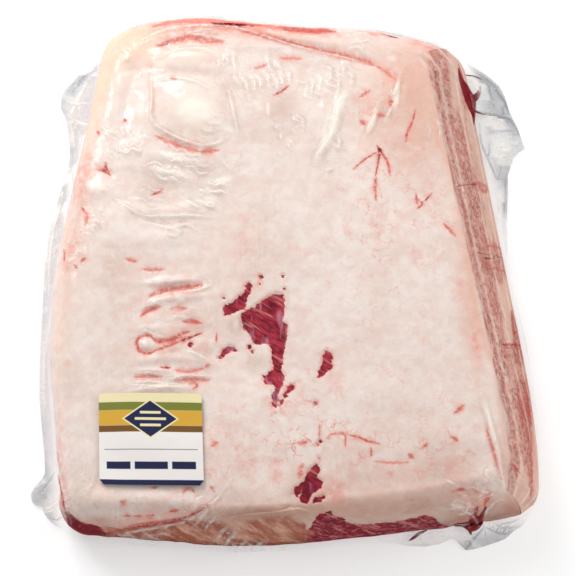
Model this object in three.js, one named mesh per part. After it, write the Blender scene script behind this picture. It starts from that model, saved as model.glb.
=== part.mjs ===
// A slab of raw beef ribs in a clear vacuum bag, lying flat with its fat cap up.
// Millimetres, +X to the right, +Y to the back, +Z up; z = 0 is the flat underside.
//
// A place on the slab is given by (u, v): u runs from the left edge (0) to the right (1),
// v from the back edge (0) to the front (1). A place on its rim is given by s, which runs
// clockwise seen from above: 0 to 1 along the back, 1 to 2 down the right side,
// 2 to 3 along the front from right to left, 3 to 4 up the left side.
import * as THREE from "three";

// The slab's outline at its widest. Each side starts at its first corner and the next ends it.
const OUTLINE = [
  [[-131, 175], [-109, 187], [-66, 194], [10, 187], [66, 185], [98, 180]],
  [[127, 170], [135, 118], [151, 15], [166, -82], [170, -130]],
  [[169, -171], [134, -180], [75, -188], [-2, -196], [-46, -197], [-85, -193]],
  [[-149, -189], [-156, -110], [-161, -73], [-160, -8], [-154, 29], [-139, 117]],
];

// Height of the shoulder, where the top turns into the sides, at even steps along each side.
const SHOULDER_HEIGHT = [[44, 46, 48], [49, 57, 59, 58], [57, 58, 57], [54, 53, 52, 49]];
// Height at which the wall stands furthest out.
const WIDEST_HEIGHT = [[18, 14, 12], [7, 4, 4, 4], [8, 16, 17], [20, 22, 22, 22]];
// How full the wall's curve is: 1 is a straight slant, 2 an ellipse, more is boxier.
const FULLNESS = [[2, 1.8, 1.7], [1.3, 1.15, 1.15, 1.2], [1.8, 2.2, 2.2], [2.1, 2, 2, 2]];
// How far the shoulder stands in from the widest line, and the foot from it, by side.
const SHOULDER_RUN = [24, 30, 9, 25];
const FOOT_TUCK = [7, 2, 5, 9];
// Share of the way down the wall at which the wall stands widest.
const WIDEST_SHARE = 0.75;
// Half the stretch of rim that is averaged to round the corners, as a share of a side.
const ROUNDING = 0.045;
const ROUNDING_SAMPLES = 7;

// The top: a flat crown and broad swells and hollows of the fat.
const CROWN = 3;
const CROWN_MARGIN = 0.13;
const SWELL_MARGIN = 0.1;
const SWELLS = [
  { x: -64, y: 111, radius: 42, height: 2.6 },
  { x: -81, y: -67, radius: 34, height: 1.4 },
  { x: 32, y: 30, radius: 60, height: 1.6 },
  { x: 74, y: -120, radius: 48, height: 1.8 },
  { x: -21, y: -75, radius: 30, height: -3.2 },
  { x: -112, y: -170, radius: 26, height: -2.4 },
  { x: 128, y: -172, radius: 22, height: -3 },
  { x: 12, y: -165, radius: 30, height: -2 },
];

// Layers: the lower edge of the fat on the wall, as a share of the way down it.
const FAT_EDGE = [
  [0.34, 0.28, 0.24, 0.2],
  [0.14, 0.12, 0.12, 0.13],
  [0.18, 0.6, 0.5, 0.46, 0.16, 0.22, 0.36, 0.62],
  [0.44, 0.62, 0.74, 0.76, 0.7, 0.5],
];
const FAT_DEPTH = 12;
const FAT_MARGIN = 0.14;
const LAYER_GAP = 0.6;
const WALL_LENGTH = 60;

// Mesh cells of the wide sheets, and the bone strip, one column wide, along the right side.
const COLUMNS = 24;
const ROWS = 28;
const BONE_COLUMNS = 1;
const BONE_START = 1 - BONE_COLUMNS / COLUMNS;
const BONE_GAP = 0.5;
const WALL_LEVELS = 6;
// Where the row of bones is jointed, as shares of its length, and how far the joints lean back.
const BONE_JOINTS = [0, 0.335, 0.5, 0.69, 0.945, 1];
const BONE_LEAN = 0.058;
const JOINT_HALF_GAP = 0.0014;

// The loose film round the slab's foot: its reach past the slab at even steps along each side.
const FILM_REACH = [
  [7, 3, 2, 1.6, 1.6, 1.6, 2, 4],
  [8, 28, 33, 19, 11, 5, 2, 1.6, 1.6, 1.6, 1.6, 1.6],
  [5, 14, 14, 6, 8, 4, 1.6, 1.6, 1.6, 1.6, 1.6, 1.6],
  [2, 20, 9, 9, 9, 9, 11, 13, 13, 10, 17, 24, 16],
];
const FILM_CLEARANCE = 0.4;
const FILM_ROOT = { low: 3.5, high: 7 };
const FILM_MIDDLE = { low: 1.6, high: 3.8 };
const FILM_RIM = { low: 0.5, high: 1.8 };
const FILM_STEPS = 120;

// The label, a thin sheet on the top near the front left corner.
const LABEL = { x: -89.3, y: -135.3, width: 68, depth: 60.5, thickness: 0.4, lift: 0.8 };

// Moves the outline so that the whole part, film and all, is centred on x = 0, y = 0.
const CENTRING = new THREE.Vector2(-0.59, 1.58);

const SIDES = OUTLINE.length;
const HALF_TURN = Math.PI / 2;

const lerp = THREE.MathUtils.lerp;
const smooth = THREE.MathUtils.smoothstep;

// One side's outline with the corner that ends it.
const sideLine = OUTLINE.map((side, i) => [...side, OUTLINE[(i + 1) % SIDES][0]]);

// Each side's outward direction, square to the line between its corners.
const sideNormal = sideLine.map((line) => {
  const from = line[0];
  const to = line[line.length - 1];
  return new THREE.Vector2(from[1] - to[1], to[0] - from[0]).normalize();
});

const boneOutward = new THREE.Vector3(sideNormal[1].x, sideNormal[1].y, 0);

// Point on a side's outline at a share q of its length.
function alongLine(line, q) {
  const lengths = line.slice(1).map((p, i) => Math.hypot(p[0] - line[i][0], p[1] - line[i][1]));
  let left = q * lengths.reduce((sum, length) => sum + length, 0);
  let i = 0;
  while (i < lengths.length - 1 && left > lengths[i]) {
    left -= lengths[i];
    i += 1;
  }
  const share = left / lengths[i];
  return new THREE.Vector2(lerp(line[i][0], line[i + 1][0], share), lerp(line[i][1], line[i + 1][1], share));
}

function sideOf(s) {
  const turned = THREE.MathUtils.euclideanModulo(s, SIDES);
  const side = Math.floor(turned);
  return { side, q: turned - side };
}

// Value at s of a quantity listed at even steps along each side.
function alongRim(table, s) {
  const { side, q } = sideOf(s);
  const values = table[side];
  const place = q * values.length;
  const i = Math.floor(place);
  const next = i + 1 < values.length ? values[i + 1] : table[(side + 1) % SIDES][0];
  return lerp(values[i], next, place - i);
}

// How far in from the widest line a side's wall stands, a share w of the way down it.
function wallInset(side, fullness, w) {
  if (w > WIDEST_SHARE) {
    const angle = ((w - WIDEST_SHARE) / (1 - WIDEST_SHARE)) * HALF_TURN;
    return FOOT_TUCK[side] * (1 - Math.cos(angle));
  }
  const angle = (w / WIDEST_SHARE) * HALF_TURN;
  return SHOULDER_RUN[side] * (1 - Math.sin(angle) ** (2 / fullness));
}

function wallHeight(s, fullness, w) {
  const widest = alongRim(WIDEST_HEIGHT, s);
  if (w > WIDEST_SHARE) {
    const angle = ((w - WIDEST_SHARE) / (1 - WIDEST_SHARE)) * HALF_TURN;
    return widest * (1 - Math.sin(angle));
  }
  const angle = (w / WIDEST_SHARE) * HALF_TURN;
  const shoulder = alongRim(SHOULDER_HEIGHT, s);
  return widest + (shoulder - widest) * Math.max(Math.cos(angle), 0) ** (2 / fullness);
}

// Wall point before the corners are rounded: the outline, moved in by its own side's inset
// and, in proportion to nearness, by the insets of the two sides next to it.
function sharpWallPoint(s, w) {
  const { side, q } = sideOf(s);
  const before = (side + SIDES - 1) % SIDES;
  const after = (side + 1) % SIDES;
  const fullness = alongRim(FULLNESS, s);
  const plan = alongLine(sideLine[side], q);
  plan.addScaledVector(sideNormal[side], -wallInset(side, fullness, w));
  plan.addScaledVector(sideNormal[before], -(1 - q) * wallInset(before, fullness, w));
  plan.addScaledVector(sideNormal[after], -q * wallInset(after, fullness, w));
  return new THREE.Vector3(plan.x, plan.y, wallHeight(s, fullness, w));
}

// Point on the wall: s along the rim, w from the shoulder (0) to the foot (1).
function wallPoint(s, w) {
  const sum = new THREE.Vector3();
  for (let i = 0; i < ROUNDING_SAMPLES; i += 1) {
    const offset = ROUNDING * ((2 * i) / (ROUNDING_SAMPLES - 1) - 1);
    sum.add(sharpWallPoint(s + offset, w));
  }
  sum.divideScalar(ROUNDING_SAMPLES);
  return sum.add(new THREE.Vector3(CENTRING.x, CENTRING.y, 0));
}

// Outward direction in plan at s on the widest line.
function rimNormal(s) {
  const step = 0.01;
  const before = wallPoint(s - step, WIDEST_SHARE);
  const after = wallPoint(s + step, WIDEST_SHARE);
  return new THREE.Vector3(before.y - after.y, after.x - before.x, 0).normalize();
}

// Surface spanning four edges: back and front edges by u, left and right edges by v.
function spanned(back, front, left, right) {
  return (u, v) => {
    const point = new THREE.Vector3();
    point.addScaledVector(back(u), 1 - v).addScaledVector(front(u), v);
    point.addScaledVector(left(v), 1 - u).addScaledVector(right(v), u);
    point.addScaledVector(back(0), -(1 - u) * (1 - v)).addScaledVector(back(1), -u * (1 - v));
    point.addScaledVector(front(0), -(1 - u) * v).addScaledVector(front(1), -u * v);
    return point;
  };
}

// Surface spanning a closed ring given by s.
function spanningRing(ring) {
  return spanned((u) => ring(u), (u) => ring(3 - u), (v) => ring(4 - v), (v) => ring(1 + v));
}

// 1 well inside the sheet, falling to 0 at its rim over the given margin.
function inside(u, v, margin) {
  const across = smooth(u, 0, margin) * smooth(1 - u, 0, margin);
  return across * smooth(v, 0, margin) * smooth(1 - v, 0, margin);
}

const shoulderSheet = spanningRing((s) => wallPoint(s, 0));
const footSheet = spanningRing((s) => wallPoint(s, 1));
const fatSheet = spanningRing((s) => wallPoint(s, alongRim(FAT_EDGE, s)));
const leanSheet = spanningRing((s) => wallPoint(s, leanEdge(s)));

function leanEdge(s) {
  return alongRim(FAT_EDGE, s) + LAYER_GAP / WALL_LENGTH;
}

// The slab's top: the sheet across the shoulders, crowned, with the swells added.
function topPoint(u, v) {
  const point = shoulderSheet(u, v);
  point.z += CROWN * inside(u, v, CROWN_MARGIN);
  for (const swell of SWELLS) {
    const distance = Math.hypot(point.x - swell.x, point.y - swell.y) / swell.radius;
    point.z += swell.height * Math.exp(-distance * distance) * inside(u, v, SWELL_MARGIN);
  }
  return point;
}

// The underside of the fat, and a little below it the top of the lean.
function layerPoint(sheet, gap, u, v) {
  const point = sheet(u, v);
  const deep = topPoint(u, v).z - FAT_DEPTH - gap;
  point.z = lerp(point.z - gap / 2, deep, inside(u, v, FAT_MARGIN));
  return point;
}

function footPoint(u, v) {
  const point = footSheet(u, v);
  point.z = 0;
  return point;
}

// Place on the rim of a point on the edge of the (u, v) square.
function rimOf(u, v) {
  if (v === 0) return u;
  if (u === 1) return 1 + v;
  if (v === 1) return 3 - u;
  return 4 - v;
}

// Wall of the lean and the bones, k from the lean's upper edge (0) to the foot (1).
function lowerWall(s, k) {
  if (k === 0) return layerPoint(leanSheet, LAYER_GAP, ...squareOf(s));
  return wallPoint(s, lerp(leanEdge(s), 1, k));
}

function squareOf(s) {
  const { side, q } = sideOf(s);
  return [[q, 0], [1, q], [1 - q, 1], [0, 1 - q]][side];
}

// The cut between the lean and the row of bones: v along it, k from its upper edge to its foot.
const cutFace = (v, k) => spanned(
  (down) => lowerWall(BONE_START, down),
  (down) => lowerWall(3 - BONE_START, down),
  (along) => layerPoint(leanSheet, LAYER_GAP, BONE_START, along),
  (along) => footPoint(BONE_START, along),
)(k, v);

// Closed solid: top and bottom sheets of columns x rows cells joined by a wall of levels.
// point(u, v, k) gives its surface, with k = 0 on the top sheet and k = 1 on the bottom one.
function layeredSolid(columns, rows, levels, point) {
  const positions = [];
  const faces = [];
  const add = (p) => positions.push(p.x, p.y, p.z) / 3 - 1;
  const sheet = (k) => {
    const grid = [];
    for (let j = 0; j <= rows; j += 1) {
      grid.push([]);
      for (let i = 0; i <= columns; i += 1) grid[j].push(add(point(i / columns, j / rows, k)));
    }
    return grid;
  };
  const top = sheet(0);
  const bottom = sheet(1);
  for (let j = 0; j < rows; j += 1) {
    for (let i = 0; i < columns; i += 1) {
      faces.push(top[j][i], top[j + 1][i], top[j][i + 1]);
      faces.push(top[j][i + 1], top[j + 1][i], top[j + 1][i + 1]);
      faces.push(bottom[j][i], bottom[j][i + 1], bottom[j + 1][i]);
      faces.push(bottom[j][i + 1], bottom[j + 1][i + 1], bottom[j + 1][i]);
    }
  }
  const rim = rimCells(columns, rows);
  const rings = [rim.map(([i, j]) => top[j][i])];
  for (let level = 1; level < levels; level += 1) {
    rings.push(rim.map(([i, j]) => add(point(i / columns, j / rows, level / levels))));
  }
  rings.push(rim.map(([i, j]) => bottom[j][i]));
  addBands(faces, rings);
  return solidGeometry(positions, faces);
}

// Grid places round the edge of a sheet, clockwise seen from above.
function rimCells(columns, rows) {
  const cells = [];
  for (let i = 0; i < columns; i += 1) cells.push([i, 0]);
  for (let j = 0; j < rows; j += 1) cells.push([columns, j]);
  for (let i = columns; i > 0; i -= 1) cells.push([i, rows]);
  for (let j = rows; j > 0; j -= 1) cells.push([0, j]);
  return cells;
}

// Faces between closed rings of points, each ring below or inside the one before.
function addBands(faces, rings) {
  for (let level = 0; level + 1 < rings.length; level += 1) {
    const upper = rings[level];
    const lower = rings[level + 1];
    for (let i = 0; i < upper.length; i += 1) {
      const next = (i + 1) % upper.length;
      faces.push(upper[i], upper[next], lower[next]);
      faces.push(upper[i], lower[next], lower[i]);
    }
  }
}

function solidGeometry(positions, faces) {
  const geometry = new THREE.BufferGeometry();
  geometry.setAttribute("position", new THREE.Float32BufferAttribute(positions, 3));
  geometry.setIndex(faces);
  geometry.computeVertexNormals();
  return geometry;
}

// The fat cap: the whole top, and the upper part of the walls down to the fat's edge.
function fatGeometry() {
  return layeredSolid(COLUMNS, ROWS, 3, (u, v, k) => {
    if (k === 0) return topPoint(u, v);
    if (k === 1) return layerPoint(fatSheet, 0, u, v);
    const s = rimOf(u, v);
    return wallPoint(s, k * alongRim(FAT_EDGE, s));
  });
}

// The lean below it, down to the flat foot, cut off on the right where the bones begin.
function leanGeometry() {
  return layeredSolid(COLUMNS - BONE_COLUMNS, ROWS, WALL_LEVELS, (share, v, k) => {
    const u = share * BONE_START;
    if (k === 0) return layerPoint(leanSheet, LAYER_GAP, u, v);
    if (k === 1) return footPoint(u, v);
    if (share === 1) return cutFace(v, k);
    return lowerWall(rimOf(u, v), k);
  });
}

// One bone of the row, between two of its leaning joints. Its rows lie on the lean's own rows.
function boneGeometry(from, to) {
  const rows = rowsBetween(from, to);
  return layeredSolid(2, rows.length + 1, WALL_LEVELS, (across, along, k) => {
    const places = [jointPlace(from, 1, k), ...rows, jointPlace(to, -1, k)];
    const v = places[Math.round(along * (rows.length + 1))];
    const inner = cutFace(v, k).addScaledVector(boneOutward, BONE_GAP);
    const outer = k === 1 ? footPoint(1, v) : lowerWall(1 + v, k);
    return inner.lerp(outer, across);
  });
}

function jointPlace(joint, side, k) {
  if (joint === 0 || joint === 1) return joint;
  return joint + side * JOINT_HALF_GAP - BONE_LEAN * k;
}

// The sheet rows that lie well clear of both joints at every level.
function rowsBetween(from, to) {
  const clear = 0.3 / ROWS;
  const rows = [];
  for (let j = 1; j < ROWS; j += 1) {
    const v = j / ROWS;
    if (v > from + clear && v < jointPlace(to, -1, 1) - clear) rows.push(v);
  }
  return rows;
}

// The loose film: a thin closed ring round the foot, reaching out in flaps.
function filmGeometry() {
  const positions = [];
  const faces = [];
  const rings = [0, 1, 2, 3, 4, 5].map(() => []);
  for (let i = 0; i < FILM_STEPS; i += 1) {
    const s = (SIDES * i) / FILM_STEPS;
    filmSection(s).forEach((p, j) => rings[j].push(positions.push(p.x, p.y, p.z) / 3 - 1));
  }
  addBands(faces, [...rings, rings[0]]);
  return solidGeometry(positions, faces);
}

function filmSection(s) {
  const rim = wallPoint(s, WIDEST_SHARE);
  const outward = rimNormal(s);
  const reach = alongRim(FILM_REACH, s);
  const at = (share, z) => rim.clone().addScaledVector(outward, FILM_CLEARANCE + share * reach).setZ(z);
  const stations = [[0, FILM_ROOT], [0.5, FILM_MIDDLE], [1, FILM_RIM]];
  const upper = stations.map(([share, height]) => at(share, height.high));
  const lower = stations.map(([share, height]) => at(share, height.low)).reverse();
  return [...upper, ...lower];
}

// Place (u, v) of the top's point that lies over (x, y), found by closing in on it.
function placeOnTop(x, y) {
  const place = new THREE.Vector2(0.5, 0.5);
  const step = 0.001;
  for (let round = 0; round < 8; round += 1) {
    const here = shoulderSheet(place.x, place.y);
    const right = shoulderSheet(place.x + step, place.y).sub(here).divideScalar(step);
    const front = shoulderSheet(place.x, place.y + step).sub(here).divideScalar(step);
    const dx = x - here.x;
    const dy = y - here.y;
    const area = right.x * front.y - right.y * front.x;
    place.x += (dx * front.y - dy * front.x) / area;
    place.y += (dy * right.x - dx * right.y) / area;
  }
  return place;
}

// The label follows the top a little above it.
function labelGeometry() {
  return layeredSolid(8, 8, 1, (across, along, k) => {
    const x = LABEL.x + (across - 0.5) * LABEL.width;
    const y = LABEL.y - (along - 0.5) * LABEL.depth;
    const place = placeOnTop(x, y);
    const point = topPoint(place.x, place.y);
    point.z += LABEL.lift + (k === 0 ? LABEL.thickness : 0);
    return point;
  });
}

const fatFinish = { color: 0xe9d3c8, roughness: 0.45, metalness: 0 };
const leanFinish = { color: 0x8f2632, roughness: 0.4, metalness: 0 };
const boneFinish = { color: 0xc49084, roughness: 0.5, metalness: 0 };
const filmFinish = { color: 0xe6e8e9, roughness: 0.15, metalness: 0 };
const labelFinish = { color: 0xf4f2ea, roughness: 0.35, metalness: 0 };

function mesh(name, geometry, finish) {
  const made = new THREE.Mesh(geometry, new THREE.MeshStandardMaterial(finish));
  made.name = name;
  return made;
}

const slab = new THREE.Group();
slab.add(mesh("fat_cap", fatGeometry(), fatFinish));
slab.add(mesh("lean_slab", leanGeometry(), leanFinish));
for (let i = 0; i + 1 < BONE_JOINTS.length; i += 1) {
  slab.add(mesh(`bone_${i + 1}`, boneGeometry(BONE_JOINTS[i], BONE_JOINTS[i + 1]), boneFinish));
}
slab.add(mesh("loose_film", filmGeometry(), filmFinish));
slab.add(mesh("label", labelGeometry(), labelFinish));

export default slab;
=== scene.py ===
# %% [markdown]
# # A slab of raw beef ribs in a clear vacuum bag
# The slab lies fat side up. Its layers are real pieces here: a fat cap, the lean under it, a row
# of sawn bones along one side, and a clear bag shrunk over them all with a label stuck on it.
# This file dresses the fixed model of the pack, so the model is loaded before anything else.

import bpy
import numpy as np
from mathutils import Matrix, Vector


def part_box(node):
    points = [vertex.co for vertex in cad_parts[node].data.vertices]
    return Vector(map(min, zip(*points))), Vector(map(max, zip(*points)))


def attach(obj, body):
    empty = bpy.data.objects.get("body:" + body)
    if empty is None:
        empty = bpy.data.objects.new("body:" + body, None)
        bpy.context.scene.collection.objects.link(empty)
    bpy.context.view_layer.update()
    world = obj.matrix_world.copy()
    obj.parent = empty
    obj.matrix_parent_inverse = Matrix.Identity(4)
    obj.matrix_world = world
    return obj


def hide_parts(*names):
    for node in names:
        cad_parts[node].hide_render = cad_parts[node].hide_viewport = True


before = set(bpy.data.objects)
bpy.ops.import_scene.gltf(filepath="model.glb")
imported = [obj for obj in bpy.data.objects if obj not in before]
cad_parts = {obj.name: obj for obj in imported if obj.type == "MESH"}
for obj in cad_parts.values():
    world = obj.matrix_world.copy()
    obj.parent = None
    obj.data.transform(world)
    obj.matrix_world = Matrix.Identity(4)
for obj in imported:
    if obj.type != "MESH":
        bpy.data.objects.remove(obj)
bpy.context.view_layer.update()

print("nodes", sorted(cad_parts))

# %% [markdown]
# ## The view
# The photograph looks down on the slab from the front, at 68 degrees. The same camera is written
# out twice: once as a Blender camera, and once as a function that says where a point of the slab
# lands in the 576 pixel frame. The function lets a fold or a vein be placed by its pixel in the
# photograph and still be part of the surface, so that it stays put from any side.

# %% The camera, and the photograph's frame as a function of a place in millimetres
METRE_PER_MM = 0.001
PHOTO_SIZE = 576
CAMERA_ELEVATION = np.radians(68)
CAMERA_DISTANCE = 1600.0
CAMERA_TARGET = np.array([0.41, -18.42, 30.0])
MM_PER_PIXEL = 0.684
SENSOR_WIDTH = 36.0

TOWARDS_CAMERA = np.array([0, -np.cos(CAMERA_ELEVATION), np.sin(CAMERA_ELEVATION)])
IMAGE_RIGHT = np.array([1.0, 0.0, 0.0])
IMAGE_UP = np.cross(TOWARDS_CAMERA, IMAGE_RIGHT)
CAMERA_PLACE = CAMERA_TARGET + CAMERA_DISTANCE * TOWARDS_CAMERA
FOCAL_PIXELS = CAMERA_DISTANCE / MM_PER_PIXEL


def photo_place(points):
    """Pixel (x, y) of each point: focal length times its offsets right and down over its depth."""
    offset = points - CAMERA_PLACE
    depth = -(offset @ TOWARDS_CAMERA)
    x = PHOTO_SIZE / 2 + FOCAL_PIXELS * (offset @ IMAGE_RIGHT) / depth
    y = PHOTO_SIZE / 2 - FOCAL_PIXELS * (offset @ IMAGE_UP) / depth
    return x, y


def place_at_height(pixels, z):
    """Point where the ray through each pixel meets the level z."""
    pixels = np.asarray(pixels, float)
    right = (pixels[:, :1] - PHOTO_SIZE / 2) / FOCAL_PIXELS * IMAGE_RIGHT
    up = (PHOTO_SIZE / 2 - pixels[:, 1:]) / FOCAL_PIXELS * IMAGE_UP
    ray = right + up - TOWARDS_CAMERA
    return CAMERA_PLACE + ray * ((z - CAMERA_PLACE[2]) / ray[:, 2:])


camera = bpy.data.objects.new("camera", bpy.data.cameras.new("camera"))
camera.data.sensor_width = SENSOR_WIDTH
camera.data.lens = SENSOR_WIDTH / (PHOTO_SIZE / FOCAL_PIXELS)
camera.location = CAMERA_PLACE * METRE_PER_MM
camera.rotation_euler = (np.pi / 2 - CAMERA_ELEVATION, 0, 0)
bpy.context.scene.collection.objects.link(camera)
bpy.context.scene.camera = camera
print("lens in mm", round(camera.data.lens, 1))

# %% [markdown]
# ## The form of the slab
# The slab has a flat underside, a crowned top and four different sides. It could be sculpted,
# but two numbers describe it better. A place on the top is (u, v): u runs from left to right and
# v from back to front. A place on the sides is (s, w): s goes once round the rim, clockwise seen
# from above (0 to 1 along the back, then right, front and left), and w goes down from the
# shoulder (0) to the foot (1). Everything later, meat and film alike, is cut from this one form,
# so that the layers fit each other. The sizes are those of the fixed model, in millimetres, but
# the front shoulder is rounder here and the fat's edge runs a little elsewhere.

# %% Sizes of the slab
OUTLINE = [
    [[-131, 175], [-109, 187], [-66, 194], [10, 187], [66, 185], [98, 180]],
    [[127, 170], [135, 118], [151, 15], [166, -82], [170, -130]],
    [[169, -171], [134, -180], [75, -188], [-2, -196], [-46, -197], [-85, -193]],
    [[-149, -189], [-156, -110], [-161, -73], [-160, -8], [-154, 29], [-139, 117]],
]
SHOULDER_HEIGHT = [[44, 46, 48], [49, 57, 59, 58], [57, 58, 57], [54, 53, 52, 49]]
WIDEST_HEIGHT = [[18, 14, 12], [7, 4, 4, 4], [8, 16, 17], [20, 22, 22, 22]]
FULLNESS = [[2, 1.8, 1.7], [1.3, 1.15, 1.15, 1.2], [1.7, 1.9, 1.9], [2.1, 2, 2, 2]]
SHOULDER_RUN = np.array([24, 30, 17, 25])
FOOT_TUCK = np.array([7, 2, 5, 9])
WIDEST_SHARE = 0.75
ROUNDING = 0.045
ROUNDING_SAMPLES = 7
CENTRING = np.array([-0.59, 1.58, 0.0])

CROWN = 3
CROWN_MARGIN = 0.13
SWELL_MARGIN = 0.1
SWELLS = [  # x, y, radius, height
    (-64, 111, 42, 2.6),
    (-81, -67, 34, 1.4),
    (32, 30, 60, 1.6),
    (74, -120, 48, 1.8),
    (-21, -75, 30, -3.2),
    (-112, -170, 26, -2.4),
    (128, -172, 22, -3),
    (12, -165, 30, -2),
]

FAT_EDGE = [
    [0.34, 0.28, 0.24, 0.2],
    [0.07, 0.05, 0.05, 0.06],
    [0.18, 0.6, 0.5, 0.46, 0.16, 0.22, 0.36, 0.62],
    [0.44, 0.62, 0.74, 0.76, 0.7, 0.5],
]
FAT_DEPTH = 12
FAT_MARGIN = 0.14
LAYER_GAP = -0.4
WALL_LENGTH = 60
BONE_START = 1 - 1 / 24
BONE_GAP = 0.5
BONE_JOINTS = [0, 0.335, 0.5, 0.69, 0.945, 1]
BONE_LEAN = 0.058
JOINT_HALF_GAP = 0.0002
SIDES = len(OUTLINE)
HALF_TURN = np.pi / 2


# %% Rim tables, and the outline by its length
def smooth(x, low, high):
    """Smoothstep: 0 below low, 1 above high, and 3t^2 - 2t^3 between them."""
    t = np.clip((x - low) / (high - low), 0, 1)
    return t * t * (3 - 2 * t)


def lerp(a, b, t):
    """Straight blend from a to b."""
    return a + (b - a) * t


def along_rim(table, s):
    """Value at s of a quantity listed at even steps along each side, straight between them."""
    knots = [side + np.arange(len(row)) / len(row) for side, row in enumerate(table)]
    return np.interp(s, np.concatenate(knots), np.concatenate(table), period=SIDES)


side_lines = [
    np.array(side + OUTLINE[(i + 1) % SIDES][:1], float) for i, side in enumerate(OUTLINE)
]
side_lengths = [np.r_[0, np.cumsum(np.hypot(*np.diff(line, axis=0).T))] for line in side_lines]
outline_knots = np.concatenate([i + run[:-1] / run[-1] for i, run in enumerate(side_lengths)])
outline_corners = np.concatenate([line[:-1] for line in side_lines])
side_spans = np.array([line[-1] - line[0] for line in side_lines])
SIDE_NORMALS = np.stack([-side_spans[:, 1], side_spans[:, 0]], 1) / np.hypot(*side_spans.T)[:, None]
BONE_OUTWARD = np.r_[SIDE_NORMALS[1], 0]


def outline(s):
    """Plan point of the widest line at s, at even speed along each side."""
    x, y = (np.interp(s, outline_knots, values, period=SIDES) for values in outline_corners.T)
    return np.stack([x, y], -1)


print("sides in mm", [round(float(run[-1])) for run in side_lengths])


# %% The sides of the slab
def wall_inset(side, fullness, w):
    """Inset from the widest line: run (1 - sin^(2/f)) above it, and tuck (1 - cos) below it."""
    above = np.minimum(w / WIDEST_SHARE, 1) * HALF_TURN
    below = np.maximum((w - WIDEST_SHARE) / (1 - WIDEST_SHARE), 0) * HALF_TURN
    upper = SHOULDER_RUN[side] * (1 - np.sin(above) ** (2 / fullness))
    return upper + FOOT_TUCK[side] * (1 - np.cos(below))


def wall_height(s, fullness, w):
    """Height: a superellipse above the widest line, and a quarter round from it to the foot."""
    above = np.minimum(w / WIDEST_SHARE, 1) * HALF_TURN
    below = np.maximum((w - WIDEST_SHARE) / (1 - WIDEST_SHARE), 0) * HALF_TURN
    widest = along_rim(WIDEST_HEIGHT, s)
    rise = (along_rim(SHOULDER_HEIGHT, s) - widest) * np.maximum(np.cos(above), 0) ** (2 / fullness)
    return widest * (1 - np.sin(below)) + rise


def sharp_wall(s, w):
    """The outline moved in by its side's inset and, by nearness, by those of the next two sides."""
    side = np.floor(s % SIDES).astype(int) % SIDES
    q = (s % SIDES) - side
    fullness = along_rim(FULLNESS, s)
    plan = outline(s)
    for other, share in ((side, 1 + 0 * q), ((side - 1) % SIDES, 1 - q), ((side + 1) % SIDES, q)):
        plan = plan - SIDE_NORMALS[other] * (share * wall_inset(other, fullness, w))[..., None]
    return np.concatenate([plan, wall_height(s, fullness, w)[..., None]], -1)


def wall(s, w):
    """Point on the side: the sharp wall's mean over a short stretch of rim, to round corners."""
    s, w = np.broadcast_arrays(np.asarray(s, float), np.asarray(w, float))
    offsets = np.linspace(-ROUNDING, ROUNDING, ROUNDING_SAMPLES)
    return sum(sharp_wall(s + offset, w) for offset in offsets) / ROUNDING_SAMPLES + CENTRING


def rim_outward(s, step=0.01):
    """Outward direction in plan at s, square to the widest line."""
    before, after = wall(s - step, WIDEST_SHARE), wall(s + step, WIDEST_SHARE)
    along = after - before
    square = np.stack([-along[..., 1], along[..., 0], 0 * along[..., 0]], -1)
    return square / np.linalg.norm(square, axis=-1, keepdims=True)


print("right shoulder at", wall(1.5, 0).round(1), "foot at", wall(1.5, 1).round(1))


# %% The top, the layers inside and the underside
def spanned(back, front, left, right, u, v):
    """Surface between four edges: blend across, plus blend along, less blend of the corners."""
    start, end = np.zeros(1), np.ones(1)
    u, v = np.asarray(u, float), np.asarray(v, float)
    across = back(u) * (1 - v)[..., None] + front(u) * v[..., None]
    along = left(v) * (1 - u)[..., None] + right(v) * u[..., None]
    corners = back(start) * ((1 - u) * (1 - v))[..., None] + back(end) * (u * (1 - v))[..., None]
    corners = corners + front(start) * ((1 - u) * v)[..., None] + front(end) * (u * v)[..., None]
    return across + along - corners


def sheet_in(ring, u, v):
    """Surface at (u, v) spanning a closed ring that is given by s."""
    return spanned(
        ring, lambda a: ring(3 - a), lambda b: ring(4 - b), lambda b: ring(1 + b), u, v
    )


def inside(u, v, margin):
    """1 well inside the sheet, falling to 0 at its rim over the margin."""
    across = smooth(u, 0, margin) * smooth(1 - u, 0, margin)
    return across * smooth(v, 0, margin) * smooth(1 - v, 0, margin)


def shoulders(u, v):
    """The plain sheet across the shoulders."""
    return sheet_in(lambda s: wall(s, 0 * s), u, v)


def top(u, v):
    """The sheet across the shoulders, crowned, with each broad swell added as a bell curve."""
    point = shoulders(u, v)
    lift = CROWN * inside(u, v, CROWN_MARGIN)
    for x, y, radius, height in SWELLS:
        square = ((point[..., 0] - x) ** 2 + (point[..., 1] - y) ** 2) / radius**2
        lift = lift + height * np.exp(-square) * inside(u, v, SWELL_MARGIN)
    point[..., 2] += lift
    return point


def fat_edge(s):
    """Share of the way down the side at which the fat ends."""
    return along_rim(FAT_EDGE, s)


def lean_edge(s):
    """Share of the way down the side at which the lean begins, a little below the fat."""
    return fat_edge(s) + LAYER_GAP / WALL_LENGTH


def layer(edge, gap, u, v):
    """Sheet inside the slab: its rim on the side's edge line, the rest a fat's depth down."""
    point = sheet_in(lambda s: wall(s, edge(s)), u, v)
    deep = top(u, v)[..., 2] - FAT_DEPTH - gap
    point[..., 2] = lerp(point[..., 2] - gap / 2, deep, inside(u, v, FAT_MARGIN))
    return point


def foot(u, v):
    """The flat underside."""
    point = sheet_in(lambda s: wall(s, 1 + 0 * s), u, v)
    point[..., 2] = 0
    return point


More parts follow.
